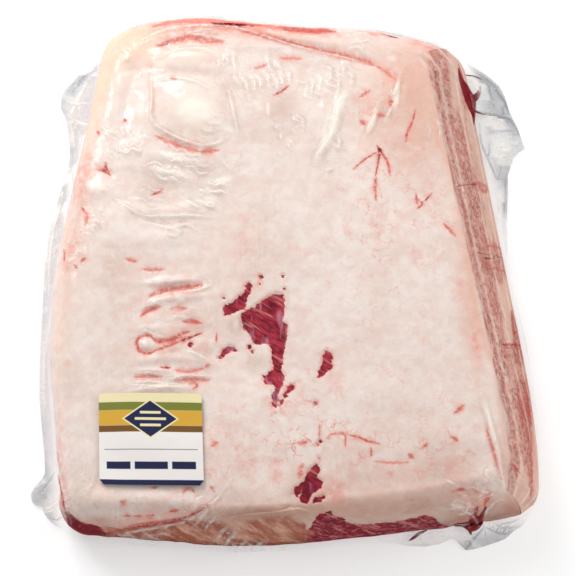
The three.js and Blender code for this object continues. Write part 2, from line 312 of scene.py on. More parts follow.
def square_place(s):
    """(u, v) of the rim's point s."""
    side = np.floor(s % SIDES).astype(int) % SIDES
    q = (s % SIDES) - side
    u = np.choose(side, [q, 1 + 0 * q, 1 - q, 0 * q])
    v = np.choose(side, [0 * q, q, 1 + 0 * q, 1 - q])
    return u, v


def lower_wall(s, k):
    """Side of the lean and the bones: k runs from the lean's upper edge (0) to the foot (1)."""
    s, k = np.broadcast_arrays(np.asarray(s, float), np.asarray(k, float))
    point = wall(s, lerp(lean_edge(s), 1, k))
    point[..., 2] -= LAYER_GAP / 2 * (1 - smooth(k, 0, 0.1))
    return point


def cut_face(v, k):
    """The cut between lean and bones: v along it, k down it, spanned between its four edges."""
    v, k = np.broadcast_arrays(np.asarray(v, float), np.asarray(k, float))
    return spanned(
        lambda down: lower_wall(BONE_START + 0 * down, down),
        lambda down: lower_wall(3 - BONE_START + 0 * down, down),
        lambda along: layer(lean_edge, LAYER_GAP, BONE_START + 0 * along, along),
        lambda along: foot(BONE_START + 0 * along, along),
        k,
        v,
    )


print("top's middle at", top(np.array([0.5]), np.array([0.5])).round(1))

# %% [markdown]
# ## From functions to meshes
# Fat, lean and bag all have one build: a fine sheet on top, rings of points that go down the
# sides and back in along the underside, and a last point that closes them. Cells of the sheet
# needn't be even: the bag gets more of them at the back, where it is wrinkled most.


# %% A closed shell: sheet, rings and pole
def rim_places(u, v):
    """s of the sheet's rim points, clockwise seen from above, for columns at u and rows at v."""
    return np.concatenate([u[:-1], 1 + v[:-1], 3 - u[:0:-1], 4 - v[:0:-1]])


def grid_rim(grid):
    """Border of a grid of point numbers, once round, clockwise seen from above."""
    return np.concatenate([grid[0, :-1], grid[:-1, -1], grid[-1, :0:-1], grid[:0:-1, 0]])


def grid_quads(grid):
    """Quads between the neighbours in a grid of point numbers."""
    corners = [grid[:-1, :-1], grid[1:, :-1], grid[1:, 1:], grid[:-1, 1:]]
    return np.stack(corners, -1).reshape(-1, 4)


def band_quads(upper, lower):
    """Quads between closed rings of point numbers and the rings below them."""
    corners = [upper, np.roll(upper, -1, -1), np.roll(lower, -1, -1), lower]
    return np.stack(corners, -1).reshape(-1, 4)


def shell_faces(rows, columns, rings):
    """Quads of a grid of points and of the rings after it, and a fan from the last to the pole."""
    grid = np.arange(rows * columns).reshape(rows, columns)
    rim = grid_rim(grid)
    loops = np.vstack([rim, grid.size + np.arange(rings * len(rim)).reshape(rings, -1)])
    last = loops[-1]
    pole = np.full(len(last), grid.size + rings * len(rim))
    fan = np.stack([last, np.roll(last, -1), pole], 1)
    return np.vstack([grid_quads(grid), band_quads(loops[:-1], loops[1:])]), fan


TINY = 1e-9  # least length that anything is divided by


def point_normals(points, quads):
    """Unit normal at each point: the sum of the crossed diagonals of the quads round it."""
    a, b, c, d = (points[quads[:, i]] for i in range(4))
    crossed = np.cross(c - a, d - b)
    total = np.stack(
        [
            sum(np.bincount(quads[:, i], crossed[:, axis], len(points)) for i in range(4))
            for axis in range(3)
        ],
        1,
    )
    return total / np.maximum(np.linalg.norm(total, axis=1, keepdims=True), TINY)


SHARP_ANGLE = np.radians(50)


def make_piece(name, points, quads, triangles, attributes):
    """Object of a mesh in millimetres, smooth shaded, with a number per point per attribute."""
    mesh = bpy.data.meshes.new(name)
    mesh.from_pydata((points * METRE_PER_MM).tolist(), [], quads.tolist() + triangles.tolist())
    mesh.polygons.foreach_set("use_smooth", np.ones(len(mesh.polygons), bool))
    for key, values in attributes.items():
        numbers = mesh.attributes.new(key, "FLOAT", "POINT").data
        numbers.foreach_set("value", np.asarray(values, np.float32))
    mesh.update()
    mesh.set_sharp_from_angle(angle=SHARP_ANGLE)
    piece = bpy.data.objects.new(name, mesh)
    bpy.context.scene.collection.objects.link(piece)
    print(name, "triangles", 2 * len(quads) + len(triangles))
    return piece


def shell_points(u, v, sheet, rings, pole):
    """Points of a shell: sheet(u, v) on the grid, each ring's points in turn, and the pole."""
    grid = sheet(u[None, :], v[:, None])
    return np.vstack([grid.reshape(-1, 3), *rings, pole[None, :]])


def drawn_in(surface, s, shares):
    """Rings of surface(u, v), one for each share of the way from its rim to its middle."""
    u, v = square_place(s)
    return [surface(lerp(u, 0.5, share), lerp(v, 0.5, share)) for share in shares]


# %% [markdown]
# ## Where things lie on the surface
# Veins, gaps in the fat and folds are short lists of places in the photograph. A vertex is only
# told how far it lies from the nearest of them. Distances change evenly between vertices, so the
# shader can cut a clean edge from them, much finer than the mesh itself.


# %% Distances to lines and to outlines, and smooth random fields
def smooth_line(line, steps=5):
    """Curve through given points: a Catmull-Rom cubic on each stretch."""
    p = np.array([line[0], *line, line[-1]], float)
    t = np.linspace(0, 1, steps, endpoint=False)[:, None]
    stretches = [
        0.5
        * (
            2 * b
            + (c - a) * t
            + (2 * a - 5 * b + 4 * c - d) * t**2
            + (3 * b - a - 3 * c + d) * t**3
        )
        for a, b, c, d in zip(p, p[1:], p[2:], p[3:])
    ]
    return np.vstack([*stretches, p[-1]])


def as_curves(strokes):
    """Strokes (points, numbers ...) with the points of each turned into a smooth line."""
    return [(smooth_line(points), *numbers) for points, *numbers in strokes]


def near_line(x, y, line):
    """Distance to a line of points, the signed distance square to it, and the share along it."""
    starts, spans = line[:-1], np.diff(line, axis=0)
    lengths = np.hypot(*spans.T)
    runs = np.r_[0, np.cumsum(lengths)]
    best, square, share = np.full(x.shape, np.inf), np.zeros(x.shape), np.zeros(x.shape)
    for (ax, ay), (dx, dy), length, run in zip(starts, spans, lengths, runs):
        t = np.clip(((x - ax) * dx + (y - ay) * dy) / length**2, 0, 1)
        ox, oy = x - ax - t * dx, y - ay - t * dy
        distance = np.hypot(ox, oy)
        closer = distance < best
        best = np.where(closer, distance, best)
        square = np.where(closer, (dx * oy - dy * ox) / length, square)
        share = np.where(closer, (run + t * length) / runs[-1], share)
    return best, square, share


def near_outline(x, y, corners):
    """Distance to a closed outline, negative inside it.

    A place is inside when a ray from it to the right crosses the outline an odd number of times.
    """
    closed = np.array([*corners, corners[0]], float)
    distance, _, _ = near_line(x, y, closed)
    within = np.zeros(x.shape, bool)
    for (ax, ay), (bx, by) in zip(closed, closed[1:]):
        if ay != by:
            crosses = (ay > y) != (by > y)
            within ^= crosses & (x < ax + (y - ay) * (bx - ax) / (by - ay))
    return np.where(within, -distance, distance)


def noise(x, y, seed):
    """Smooth random field from -1 to 1: random values on a unit lattice, blended by smoothstep."""
    size = 64  # cells until it repeats
    table = np.random.default_rng(seed).uniform(-1, 1, (size, size))
    i, j = np.floor(x).astype(int), np.floor(y).astype(int)
    fx, fy = smooth(x - i, 0, 1), smooth(y - j, 0, 1)
    near, far = table[i % size, j % size], table[(i + 1) % size, j % size]
    near_up, far_up = table[i % size, (j + 1) % size], table[(i + 1) % size, (j + 1) % size]
    return lerp(lerp(near, far, fx), lerp(near_up, far_up, fx), fy)


def bells(x, y, table):
    """Sum of oval bells, each (x, y, half length, half width, angle in degrees, height)."""
    total = np.zeros(x.shape)
    for cx, cy, along, across, angle, height in table:
        c, s = np.cos(np.radians(angle)), np.sin(np.radians(angle))
        a = ((x - cx) * c + (y - cy) * s) / along
        b = ((y - cy) * c - (x - cx) * s) / across
        total += height * np.exp(-(a * a + b * b))
    return total


# %% [markdown]
# ## Marks of the meat
# The fat has torn gaps that show the lean, blood-red folds and veins, blushes where blood has
# soaked in, and creamy, yellow and rosy stretches. Painted shade darkens its folds and its front,
# and painted highlights, in places paler fat, lie where film and fat catch the light. Each list
# below is one kind of mark, in pixels of the photograph. A line also says how red it is (0 is
# salmon, 1 is dark blood) and how deep its crease is. The photograph doesn't show how marks go on
# down the back, so they end there.

# %% Gaps in the fat that show the lean
LEAN_GAPS = [
    [  # the torn strip left of the middle
        (240.7, 313), (249.8, 308.8), (257.4, 303.5), (268.9, 295.4), (275.6, 292.5),
        (284.2, 292.5), (284.4, 310), (282.3, 319.8), (286.6, 324.5), (287.4, 335), (284.5, 346),
        (283, 358), (281.3, 369), (284.7, 375.3), (283.3, 382), (279.6, 389), (278, 397.3),
        (276.4, 409), (272.2, 406.8), (271.8, 399.2), (272.7, 391.5), (275.6, 387.7),
        (273.7, 384.4), (266, 383.9), (262.2, 375.7), (267, 374.3), (272.7, 367.6), (271.8, 359),
        (272, 352), (268.9, 343.4), (259.3, 344.6), (253.6, 344.2), (251.7, 338.9), (247.8, 331.2),
        (243.1, 328.4), (241.1, 321.7),
    ],
    [  # its small neighbour at the upper left
        (223.4, 308.3), (224.4, 304), (232.5, 302.5), (238.3, 295.8), (245, 292.5), (245, 285.3),
        (249.8, 282.4), (252.1, 286), (251.6, 291), (247.4, 295.5), (246.4, 305.4), (244.4, 308.2),
        (238.3, 310.7), (233, 313), (223.9, 316),
    ],
    [
        (277.5, 407.8), (285.2, 390.6), (290, 384.8), (294.3, 384.4), (294.2, 388.5), (288, 394),
        (280.5, 406),
    ],
    [
        (218, 359), (222.8, 350.2), (228.7, 345), (233.8, 346), (237.5, 350.4), (231.6, 351.2),
        (226.8, 353.4), (220, 359.4),
    ],
    [
        (325.4, 349.9), (332, 352.3), (332.4, 362), (331.6, 368), (322.5, 376.2), (317.2, 378.4),
        (319.2, 369.5), (322, 361.9),
    ],
    [  # the strip nearer the front
        (317.2, 462.4), (319.9, 469.1), (317.2, 476.4), (322.7, 481), (321.5, 487.3),
        (312.4, 493.6), (307.5, 504.4), (301.5, 501.8), (299.9, 496.5), (303.4, 489.5),
        (301, 489.5), (297.4, 496.6), (293.6, 493.6), (295.4, 487.3), (303.9, 481), (307.5, 472.7),
        (313.6, 465.4),
    ],
    [(313.4, 503.4), (313, 498), (319.7, 495.5), (325.9, 494.3), (324.5, 498.6), (318.5, 501.8)],
    [(291, 546), (297.9, 531), (305.1, 521.4), (306.3, 525.4), (303.9, 534), (302, 548)],
    [  # the long strip along the front edge
        (304, 552), (307.5, 531), (313.6, 520.6), (319.7, 513.5), (330.8, 511.8), (332, 516.2),
        (344, 517.3), (348.1, 523.4), (366, 523.8), (391.2, 522.8), (410.5, 518.6), (424.5, 515.4),
        (433.7, 516.7), (440.8, 523.6), (448, 525.6), (452, 560),
    ],
    [(304, 552), (452, 560), (452, 640), (304, 640)],
    [(213, 23.8), (228, 22.4), (246, 22.6), (266, 24.6), (250, 26.4), (230, 26.2)],
    [(380, 31.2), (390, 33), (400, 35.6), (396, 37.6), (384, 34.6)],
    [  # the front left corner
        (67.6, 516.6), (74, 520), (84, 522.6), (101.4, 527.4), (107.5, 533.6), (108, 560),
        (60, 560),
    ],
]
LEAN_SPOTS = [  # x, y, radius
    (260.8, 276.7, 1.9), (259.8, 283, 1.3), (283.3, 276, 1.6), (223.9, 297.8, 1.1),
    (252.2, 351.8, 1.7), (249.5, 346.6, 2), (315.3, 403.2, 2.4), (317.4, 444.6, 1.8),
    (320.3, 441.6, 1.2), (319, 458, 1.2), (183.8, 340.3, 2.6), (190.2, 343.6, 2.5), (284, 288.5, 1),
    (298.6, 382.4, 1.3),
]
print(len(LEAN_GAPS), "gaps and", len(LEAN_SPOTS), "spots")

# %% Blood lines: points, half width in pixels, redness, depth in mm
BLOOD_LINES = [
    # the star-shaped vein
    ([(376.7, 145.8), (379.9, 150.3), (378, 163), (375.4, 175.8)], 0.9, 0.72, 0.5),
    ([(375.4, 175.8), (375.2, 188), (376, 199)], 1.5, 0.35, 0.2),
    ([(379.9, 150.3), (365.2, 159.2), (353.7, 168.8)], 0.65, 0.6, 0.2),
    ([(379.5, 149.5), (383, 154), (388.2, 164.3), (390, 174.5)], 1.1, 0.5, 0.2),
    ([(378.4, 147.8), (381.4, 152.6)], 1.9, 0.85, 0.3),
    # veins to its upper right
    ([(415, 110.8), (412.4, 122.2), (407.3, 132.4), (406, 141)], 1.1, 0.55, 0.3),
    ([(416, 194), (417, 203)], 1.1, 0.55, 0.2),
    ([(418, 208), (421, 206), (422.4, 202.5), (420, 201)], 0.9, 0.6, 0.2),
    ([(425, 200.5), (428, 197.5), (431.5, 193.5)], 0.8, 0.85, 0.2),
    ([(444.5, 224.5), (449, 229), (455, 235)], 1.3, 0.4, 0.2),
    ([(390, 98), (391.2, 106)], 2.2, 0.45, 0.4),
    ([(377, 115), (384.3, 116)], 1.6, 0.35, 0.3),
    ([(361.5, 121.5), (364, 123.5)], 2, 0.4, 0.3),
    ([(360, 97), (369, 91.6)], 1.4, 0.3, 0.3),
    # the long fold behind the fat's back edge
    ([(240, 29.4), (253, 32.8), (268.3, 36.6), (283.6, 41.1), (301.4, 45.6)], 1.8, 0.45, 1.6),
    ([(301.4, 45.6), (332, 52.6), (357.6, 58.9), (370.3, 62.2), (383, 69.3)], 2.1, 0.32, 1.6),
    ([(383, 69.3), (389, 74), (396, 80)], 1.8, 0.15, 0.8),
    ([(272, 38.2), (283.6, 41.1), (298, 44.6)], 1.1, 0.9, 0.6),
    ([(366, 61), (374, 64), (384, 70.4)], 0.7, 0.8, 0.4),
    ([(214, 24), (230, 24), (246, 23.6), (264, 23.4)], 1.7, 1, 1),
    ([(274, 27.4), (290, 28.6), (312, 30), (334, 31)], 3.2, 0.5, 0.6),
    ([(420, 40), (430, 43.6), (440, 49)], 3.0, 0.3, 0.4),
    # the red wedge in the back left fold
    ([(158.2, 45.7), (166, 43), (174.8, 39.8), (182, 37)], 2.3, 0.42, 1.4),
    ([(170, 42.6), (184, 38), (191, 36.2), (204, 40.5), (222, 42)], 2.8, 0.28, 1.2),
    ([(281, 58.4), (301, 58.6)], 1, 0.12, 0.4),
    ([(256, 67.6), (266, 64.4)], 1.3, 0.22, 0.4),
    ([(274.6, 95), (281, 91.8), (288, 86.3)], 1.2, 0.6, 0.4),
    # the left shoulder
    ([(96, 168.4), (105.9, 170.7), (111.4, 176.4)], 1.4, 0.7, 1),
    ([(104.8, 161), (106, 168)], 0.9, 0.7, 0.5),
    ([(152.4, 194.2), (157, 192.4), (162.4, 189.4)], 1.1, 0.7, 0.4),
    ([(82, 208), (86.4, 215.5), (85, 224)], 2.1, 0.4, 0.6),
    ([(81.5, 262), (86.5, 256)], 1.7, 0.5, 0.5),
    ([(64, 250), (64.4, 261)], 1, 0.7, 0.3),
    ([(74, 265), (77, 268)], 1.2, 0.55, 0.3),
    ([(125, 119.6), (126.4, 122.4)], 1.7, 0.6, 0.4),
    ([(97.6, 131.6), (99, 134.6)], 1.5, 0.45, 0.3),
    ([(171.5, 79.6), (175.5, 80.2)], 1.1, 0.6, 0.3),
    ([(157, 136.3), (171, 142.7), (186, 148.5), (200.3, 151.6)], 2.2, 0.2, 1.1),
    ([(197, 151.6), (207, 152), (218.2, 150.3)], 1.5, 0.3, 0.6),
    # folds left of the middle
    ([(127, 259), (135.5, 261.4)], 1.3, 0.35, 0.5),
    ([(143, 269.4), (154.4, 269.6), (163, 269.2)], 1.6, 0.3, 0.6),
    ([(151, 295.4), (157, 292.4), (168.4, 289.3), (181.2, 288), (201, 284.6)], 2.3, 0.4, 1.6),
    ([(166, 290), (181.2, 287.6), (192, 286.4)], 0.9, 0.72, 0.4),
    ([(141.2, 315.6), (146.7, 311), (159, 306.6)], 2.1, 0.42, 1.2),
    ([(171, 308.4), (186, 308.2)], 1.8, 0.2, 0.6),
    ([(184, 321), (192, 321.4), (200, 322.8)], 2.5, 0.42, 1),
    ([(157, 341), (152, 336.6), (146, 335.4), (140, 337), (136.8, 342),
      (138, 348.5), (143, 352.5), (149.6, 353), (155, 350.4)], 1.5, 0.5, 0.9),
    ([(151.5, 337), (158, 341), (168, 340.4), (175, 337.4), (183, 333),
      (189, 331)], 2.4, 0.55, 1.2),
    ([(155, 350.4), (163, 347.6), (172, 344), (181, 340.6)], 1.3, 0.4, 0.8),
    ([(181, 340), (190, 337.6), (197, 334.4), (202, 333)], 0.9, 0.88, 0.5),
    ([(161.5, 367), (170, 367.8)], 1.3, 0.72, 0.5),
    ([(175, 370), (190, 371.4), (203, 368)], 1.9, 0.22, 1),
    ([(205.6, 367), (208.6, 364.8)], 1.6, 0.75, 0.3),
    ([(136, 377), (148, 376), (161, 377.2)], 1.4, 0.2, 0.9),
    ([(176, 381), (192, 379.6), (209, 380.4)], 1.3, 0.12, 0.8),
    ([(190, 384), (195, 382.6), (197, 386), (193.6, 388.6)], 1.1, 0.35, 0.3),
    ([(216.4, 334), (216.2, 342)], 0.8, 0.45, 0.2),
    # the front half, right of the middle
    ([(330, 434.6), (344, 434), (345.4, 446)], 0.9, 0.35, 0.2),
    ([(351, 435.4), (360, 438), (369, 441.5), (379, 443.6)], 1.1, 0.5, 0.3),
    ([(371, 449), (371.4, 456.5)], 1, 0.5, 0.2),
    ([(375, 461.4), (392, 463), (409.3, 462)], 0.9, 0.15, 0.2),
    ([(423, 447.4), (428, 443.4)], 1, 0.45, 0.2),
    ([(452, 437.4), (457.5, 440.4)], 2, 0.45, 0.3),
    ([(409.5, 454.6), (412.4, 457.4)], 1.9, 0.5, 0.3),
    ([(455, 412.6), (459, 409.4), (463.4, 405.8)], 1.7, 0.42, 0.3),
    ([(300, 443.4), (308, 442)], 1.5, 0.28, 0.2),
    ([(319.5, 425), (319.4, 440)], 0.7, 0.3, 0.2),
    ([(298, 470), (304, 463.6)], 0.6, 0.3, 0.1),
    ([(297.6, 474.5), (304.6, 467)], 0.6, 0.3, 0.1),
    ([(299, 478), (303.6, 473)], 0.6, 0.3, 0.1),
    # the front right corner
    ([(452, 492.6), (459, 490.4), (467, 490.4)], 1.7, 0.5, 0.8),
    ([(473.6, 489.6), (477.5, 490.4)], 1.6, 0.4, 0.6),
    ([(486.6, 428), (491.8, 445.3), (497, 461), (501, 479)], 1.3, 0.25, 0.4),
    ([(491, 493.5), (487.5, 499), (484.4, 506)], 2.2, 0.6, 1),
    ([(480, 521), (484, 524.4)], 2.6, 0.66, 0.6),
    ([(477.5, 508), (474, 516), (470, 524)], 2.9, 0.95, 1.6),
    ([(452, 527.4), (463, 526.6), (474, 527)], 2.2, 1, 0.8),
    # the pinch along the front left, and the left edge
    ([(106.5, 535), (119.3, 531.8), (144.8, 526.7), (170.3, 522.9), (184, 518.6)], 2.4, 0.62, 1.6),
    ([(67, 514), (74, 524), (86, 530.5), (104, 534)], 5.4, 1.3, 0.6),
    ([(184, 518.6), (193, 515.4), (202.2, 511.7), (212, 503)], 1.6, 0.6, 1.4),
    # the back edge
    ([(155, 26), (180, 20), (215, 19), (250, 22), (282, 29)], 3.5, 0.15, 0.3),
    ([(56.1, 470), (58, 484), (61.2, 494.8), (63.5, 505), (67.4, 515.6)], 1.5, 0.72, 0.8),
    # small marks under the label
    ([(121, 501.4), (125, 504)], 2, 0.3, 0.3),
    ([(124, 516.6), (130, 516.2)], 1.5, 0.45, 0.3),
    ([(135, 516.4), (142, 516.8)], 1.5, 0.45, 0.3),
    ([(147, 516.6), (153.6, 515.4)], 1.5, 0.4, 0.3),
    ([(171, 511.6), (177, 510.4)], 2.1, 0.5, 0.4),
    ([(184, 492), (186, 488.6), (191, 488.4), (194, 492)], 1.3, 0.3, 0.3),
    ([(152, 487.6), (157, 486.6)], 1.3, 0.2, 0.2),
    ([(212.6, 445.6), (217, 443)], 1.8, 0.3, 0.3),
    ([(211, 487), (214, 491)], 1.6, 0.25, 0.3),
]
blood_curves = as_curves(BLOOD_LINES)
print(len(BLOOD_LINES), "blood lines")

# %% Soft fields of colour: oval bells of x, y, half length, half width, angle, amount
BLUSHES = [
    (84, 172, 10, 22, 15, 0.8), (79, 196, 8, 12, 20, 0.6), (70, 250, 7, 26, 8, 0.7),
    (152, 66, 4, 12, 0, 0.6), (152, 100, 3, 26, 0, 0.35), (190, 144, 26, 6, 12, 0.45),
    (200, 25, 60, 8, 1, 1.2), (300, 30.5, 28, 4, 3, 1), (250, 32, 30, 5, 8, 0.6),
    (190, 40, 40, 5, 0, 0.6), (375, 33.5, 20, 4, 3, 0.9), (420, 42, 12, 7, 25, 0.7),
    (330, 34, 30, 3, 3, 0.6), (396, 84, 14, 12, 40, 0.4), (366, 108, 12, 16, 0, 0.5),
    (378, 236, 4, 9, 0, 0.35), (384, 225, 26, 26, 0, 0.2), (420, 259, 12, 8, 0, 0.4),
    (300, 250, 12, 5, 15, 0.45), (476, 343, 4, 15, -12, 0.9), (460, 289, 4, 9, 0, 0.45),
    (275, 459, 9, 4, 20, 0.6), (277, 480, 7, 14, 0, 0.5), (271, 405, 8, 8, 0, 0.2),
    (245, 240, 9, 30, 0, 0.25), (390, 475, 6, 4, 0, 0.6), (448, 468, 12, 7, -20, 0.45),
    (421, 486, 9, 4, 0, 0.4), (460, 456, 8, 6, 0, 0.45), (332, 500, 12, 8, 0, 0.4),
    (352, 444, 26, 12, 8, 0.25), (68, 363, 3, 3.5, 0, 0.55), (60, 440, 6, 30, 0, 0.35),
    (62, 480, 5, 26, -8, 0.6), (196, 470, 16, 30, 0, 0.25), (212, 446, 8, 10, 0, 0.3),
    (150, 516, 30, 5, -4, 0.4), (165, 500, 30, 10, 0, 0.25), (330, 365, 3, 12, 0, 0.35),
    (338, 385, 8, 10, 0, 0.25), (300, 400, 14, 10, -30, 0.3), (470, 500, 14, 10, 30, 0.55),
    (332, 490, 14, 9, 0, 1.0), (250, 470, 12, 20, 0, 0.25), (356, 178, 9, 4, 0, 0.3),
    (430, 205, 12, 16, 0, 0.3), (410, 150, 8, 22, 0, 0.25), (172, 300, 34, 16, -4, 0.25),
    (200, 352, 26, 20, 0, 0.25), (240, 455, 20, 26, 0, 0.15), (230, 420, 16, 16, 0, 0.15),
]
# Painted highlights, in places paler fat: cream patches where film and fat catch the light.
HIGHLIGHTS_AND_PALE_FAT = [
    (196, 112, 26, 18, 0, 1.0), (185, 56, 28, 6, 2, 0.7), (126, 74, 16, 6, -10, 0.6),
    (141, 108, 7, 14, 0, 0.7), (116, 102, 8, 11, 0, 0.6), (132, 140, 12, 6, 0, 0.6),
    (176, 158, 27, 4, 18, 0.9), (172, 173, 24, 4.5, 12, 0.9), (223, 180, 12, 5, -15, 0.9),
    (97, 186, 12, 9, 0, 1.0), (209, 200, 9, 8, 0, 0.8), (186, 203, 15, 6, 0, 0.8),
    (134, 198, 10, 6, 0, 0.6), (176, 215, 32, 2.6, 0, 0.9), (166, 227, 30, 3, 8, 0.8),
    (293, 71, 10, 4, 60, 0.7), (268, 110, 3, 10, 0, 0.7), (250, 78, 14, 9, 70, 0.5),
    (331, 126, 34, 8, -70, 1.0), (342, 100, 12, 7, -60, 0.4), (396, 97, 3.5, 19, 8, 1.1),
    (372, 123, 4, 12, 22, 1.0), (392, 59, 8, 5, 0, 0.6), (362, 47, 24, 5, 12, 0.5),
    (392, 216, 8, 12, 0, 0.6), (318, 85, 14, 26, 20, 0.5), (170, 281, 24, 3, -4, 0.7),
    (151, 309, 10, 3, -12, 0.8), (174, 308, 11, 3, 0, 0.6), (145, 344, 4.5, 5, 0, 0.8),
    (195, 355, 16, 6, 8, 0.6), (182, 377, 26, 3.4, 0, 0.8), (157, 386, 24, 3, 0, 0.8),
    (78, 350, 20, 40, 0, 0.3), (150, 498, 24, 6, 0, 0.5), (236, 400, 16, 18, 0, 0.35),
    (236, 325, 5, 9, 0, 0.7), (490, 420, 2.6, 28, -12, 0.9), (500, 474, 3.5, 16, -20, 0.8),
    (280, 290, 4, 14, 20, 0.3), (460, 505, 12, 3, -4, 0.8), (463, 513, 10, 2.2, 10, 0.7),
    (480, 497, 3, 8, 20, 0.6), (105, 150, 8, 20, 20, 0.4), (240, 95, 5, 22, 0, 0.4),
    (300, 100, 12, 14, 0, 0.35), (230, 130, 14, 5, 20, 0.6), (90, 236, 10, 16, 20, 0.4),
]
YELLOWS = [
    (124, 42, 26, 13, -20, 1.7), (103, 78, 8, 24, 12, 1.4), (88, 135, 6, 26, 12, 0.5),
    (185, 56, 36, 9, 0, 0.5), (190, 112, 34, 26, 0, 0.4), (100, 492, 26, 14, 0, 0.35),
    (300, 42, 50, 5, 8, 0.4), (60, 330, 8, 60, 0, 0.4), (124, 52, 40, 26, -30, 0.6),
    (94, 110, 14, 60, 12, 0.5),
]
ROSES = [
    (424, 105, 26, 80, 0, 1.0), (396, 70, 30, 30, 0, 0.6), (470, 330, 10, 60, -10, 0.8),
    (462, 250, 8, 60, -12, 0.4), (436, 88, 46, 5, 86, 0.9), (448, 160, 34, 5, 70, 1.0),
    (462, 215, 36, 5, 77, 1.0), (472, 280, 40, 5, 80, 0.9), (487, 345, 34, 5, 72, 0.9),
    (502, 410, 46, 5, 82, 0.8), (508, 470, 30, 6, 80, 0.9), (516, 506, 14, 12, 0, 1.3),
    (440, 440, 60, 46, 0, 0.3), (385, 480, 90, 20, -3, 0.45), (240, 462, 60, 40, 0, 0.1),
    (235, 262, 36, 56, 0, 0.25), (330, 511, 140, 14, -4, 1.2), (75, 250, 12, 80, 8, 0.5),
    (150, 520, 70, 10, -8, 0.7), (200, 24, 70, 7, 0, 0.6), (300, 36, 70, 10, 8, 0.5),
    (165, 345, 36, 50, 0, 0.25), (470, 500, 24, 20, 0, 0.8), (380, 130, 30, 40, 0, 0.5),
]
# Painted shade: darker, browner stretches in folds, valleys and on the front roll, where shade
# falls.
PAINTED_SHADES = [
    (188, 73, 34, 5, 4, 0.45), (140, 180, 26, 18, 20, 0.25), (110, 265, 20, 26, 0, 0.3),
    (238, 322, 9, 10, 0, 0.7), (255, 362, 13, 12, 0, 0.5), (170, 352, 14, 4, -20, 0.7),
    (196, 328, 14, 5, 0, 0.6), (205, 368, 8, 5, 0, 0.7), (100, 520, 12, 5, 8, 1),
    (250, 520, 34, 16, -8, 0.65), (288, 525, 12, 14, 60, 0.6), (200, 535, 60, 10, 0, 0.55),
    (424, 503, 26, 9, -4, 0.6), (440, 470, 20, 22, 0, 0.25), (290, 118, 14, 18, 0, 0.22),
    (275, 240, 30, 40, 0, 0.16), (468, 512, 10, 12, 30, 0.8), (230, 500, 22, 12, 0, 0.3),
    (350, 470, 22, 16, 0, 0.25), (150, 255, 34, 12, 0, 0.2), (400, 380, 50, 70, 0, 0.1),
    (205, 175, 14, 20, 0, 0.2), (310, 66, 30, 6, 6, 0.2), (225, 90, 6, 16, 0, 0.3),
    (350, 514, 120, 9, -4, 0.9), (250, 516, 40, 10, -8, 0.8), (305, 490, 16, 20, 0, 0.6),
    (408, 130, 26, 50, 0, 0.3), (110, 300, 26, 60, 0, 0.2), (516, 508, 12, 8, 0, 0.5),
    (165, 181, 26, 5, 14, 0.3), (150, 165, 10, 6, 10, 0.3), (332, 492, 14, 8, 0, 0.7),
    (80, 200, 10, 60, 10, 0.25), (250, 128, 16, 16, 0, 0.2), (278, 112, 12, 18, 0, 0.25),
    (176, 293, 30, 3, -8, 0.3), (195, 314, 22, 3, 0, 0.3),
]
FLECK_FIELDS = [
    (395, 205, 60, 60, 0, 0.8), (330, 445, 60, 30, 0, 0.9), (440, 450, 45, 40, 0, 0.8),
    (380, 330, 90, 80, 0, 0.4), (300, 410, 40, 40, 0, 0.6), (220, 455, 60, 60, 0, 0.55),
    (80, 215, 22, 60, 10, 0.8), (130, 510, 60, 16, 0, 0.6), (390, 90, 40, 30, 0, 0.5),
    (300, 50, 90, 12, 6, 0.3), (160, 320, 60, 50, 0, 0.3),
]
SOFT_FIELDS = {
    "blush": BLUSHES,
    # painted highlights, in places paler fat
    "highlight_and_pale": HIGHLIGHTS_AND_PALE_FAT,
    "yellow": YELLOWS,
    "rose": ROSES,
    # painted shade
    "painted_shade": PAINTED_SHADES,
    "flecks": FLECK_FIELDS,
}
print(sum(map(len, SOFT_FIELDS.values())), "soft fields")


# %% Trails of juice: x, y and half width in pixels
JUICE_TRAILS = {
    "juice_back_wedge": [
        (458.5, 68.5, 0.8), (461, 79, 2.2), (466, 90, 4.4), (470.5, 99, 5.6), (472, 107, 4.2),
        (473.6, 115, 2), (474, 125, 0.4),
    ],
    "juice_back_arm": [(468, 100, 3.5), (474, 97.5, 4), (478.5, 92, 2.4), (480.5, 85, 0.6)],
    "juice_back_tail": [(472, 110, 2), (477, 111.4, 1.4), (487, 113.4, 0.4)],
    "juice_back_curl": [(465.7, 75.7, 0.5), (474.6, 75, 0.8), (482, 78.2, 0.4)],
    "juice_front_pool": [
        (454, 526, 0.5), (463, 526, 2), (471, 526.6, 4.6), (478, 522.5, 4.6), (482, 516, 2.6),
        (485, 509, 1.4), (489, 500, 0.6),
    ],
    "juice_front_drip": [(469, 526, 3.6), (471.4, 534, 0.6)],
    "juice_front_fold": [(409, 541, 0.4), (414, 537.6, 1.5), (420, 533.6, 1.6), (427, 530.6, 0.5)],
}
TRAIL_STEPS = 10
DRY = -30.0  # pixels outside every trail, the least depth that is told
juice_curves = {name: smooth_line(trail, TRAIL_STEPS) for name, trail in JUICE_TRAILS.items()}


def juice_depth(x, y):
    """Depth inside the nearest trail of juice: the trail's half width there less the distance."""
    depth = np.full(x.shape, DRY)
    for curve in juice_curves.values():
        distance, _, share = near_line(x, y, curve[:, :2])
        runs = np.r_[0, np.cumsum(np.hypot(*np.diff(curve[:, :2], axis=0).T))]
        depth = np.maximum(depth, np.interp(share, runs / runs[-1], curve[:, 2]) - distance)
    return depth


# %% The marks as numbers at each point
BACK_BEGINS = (162, 174)  # mm towards the back
BACK_HIDDEN_BELOW = (24, 34)  # mm up
FAR_AWAY = 60.0  # pixels, out of a mark's reach


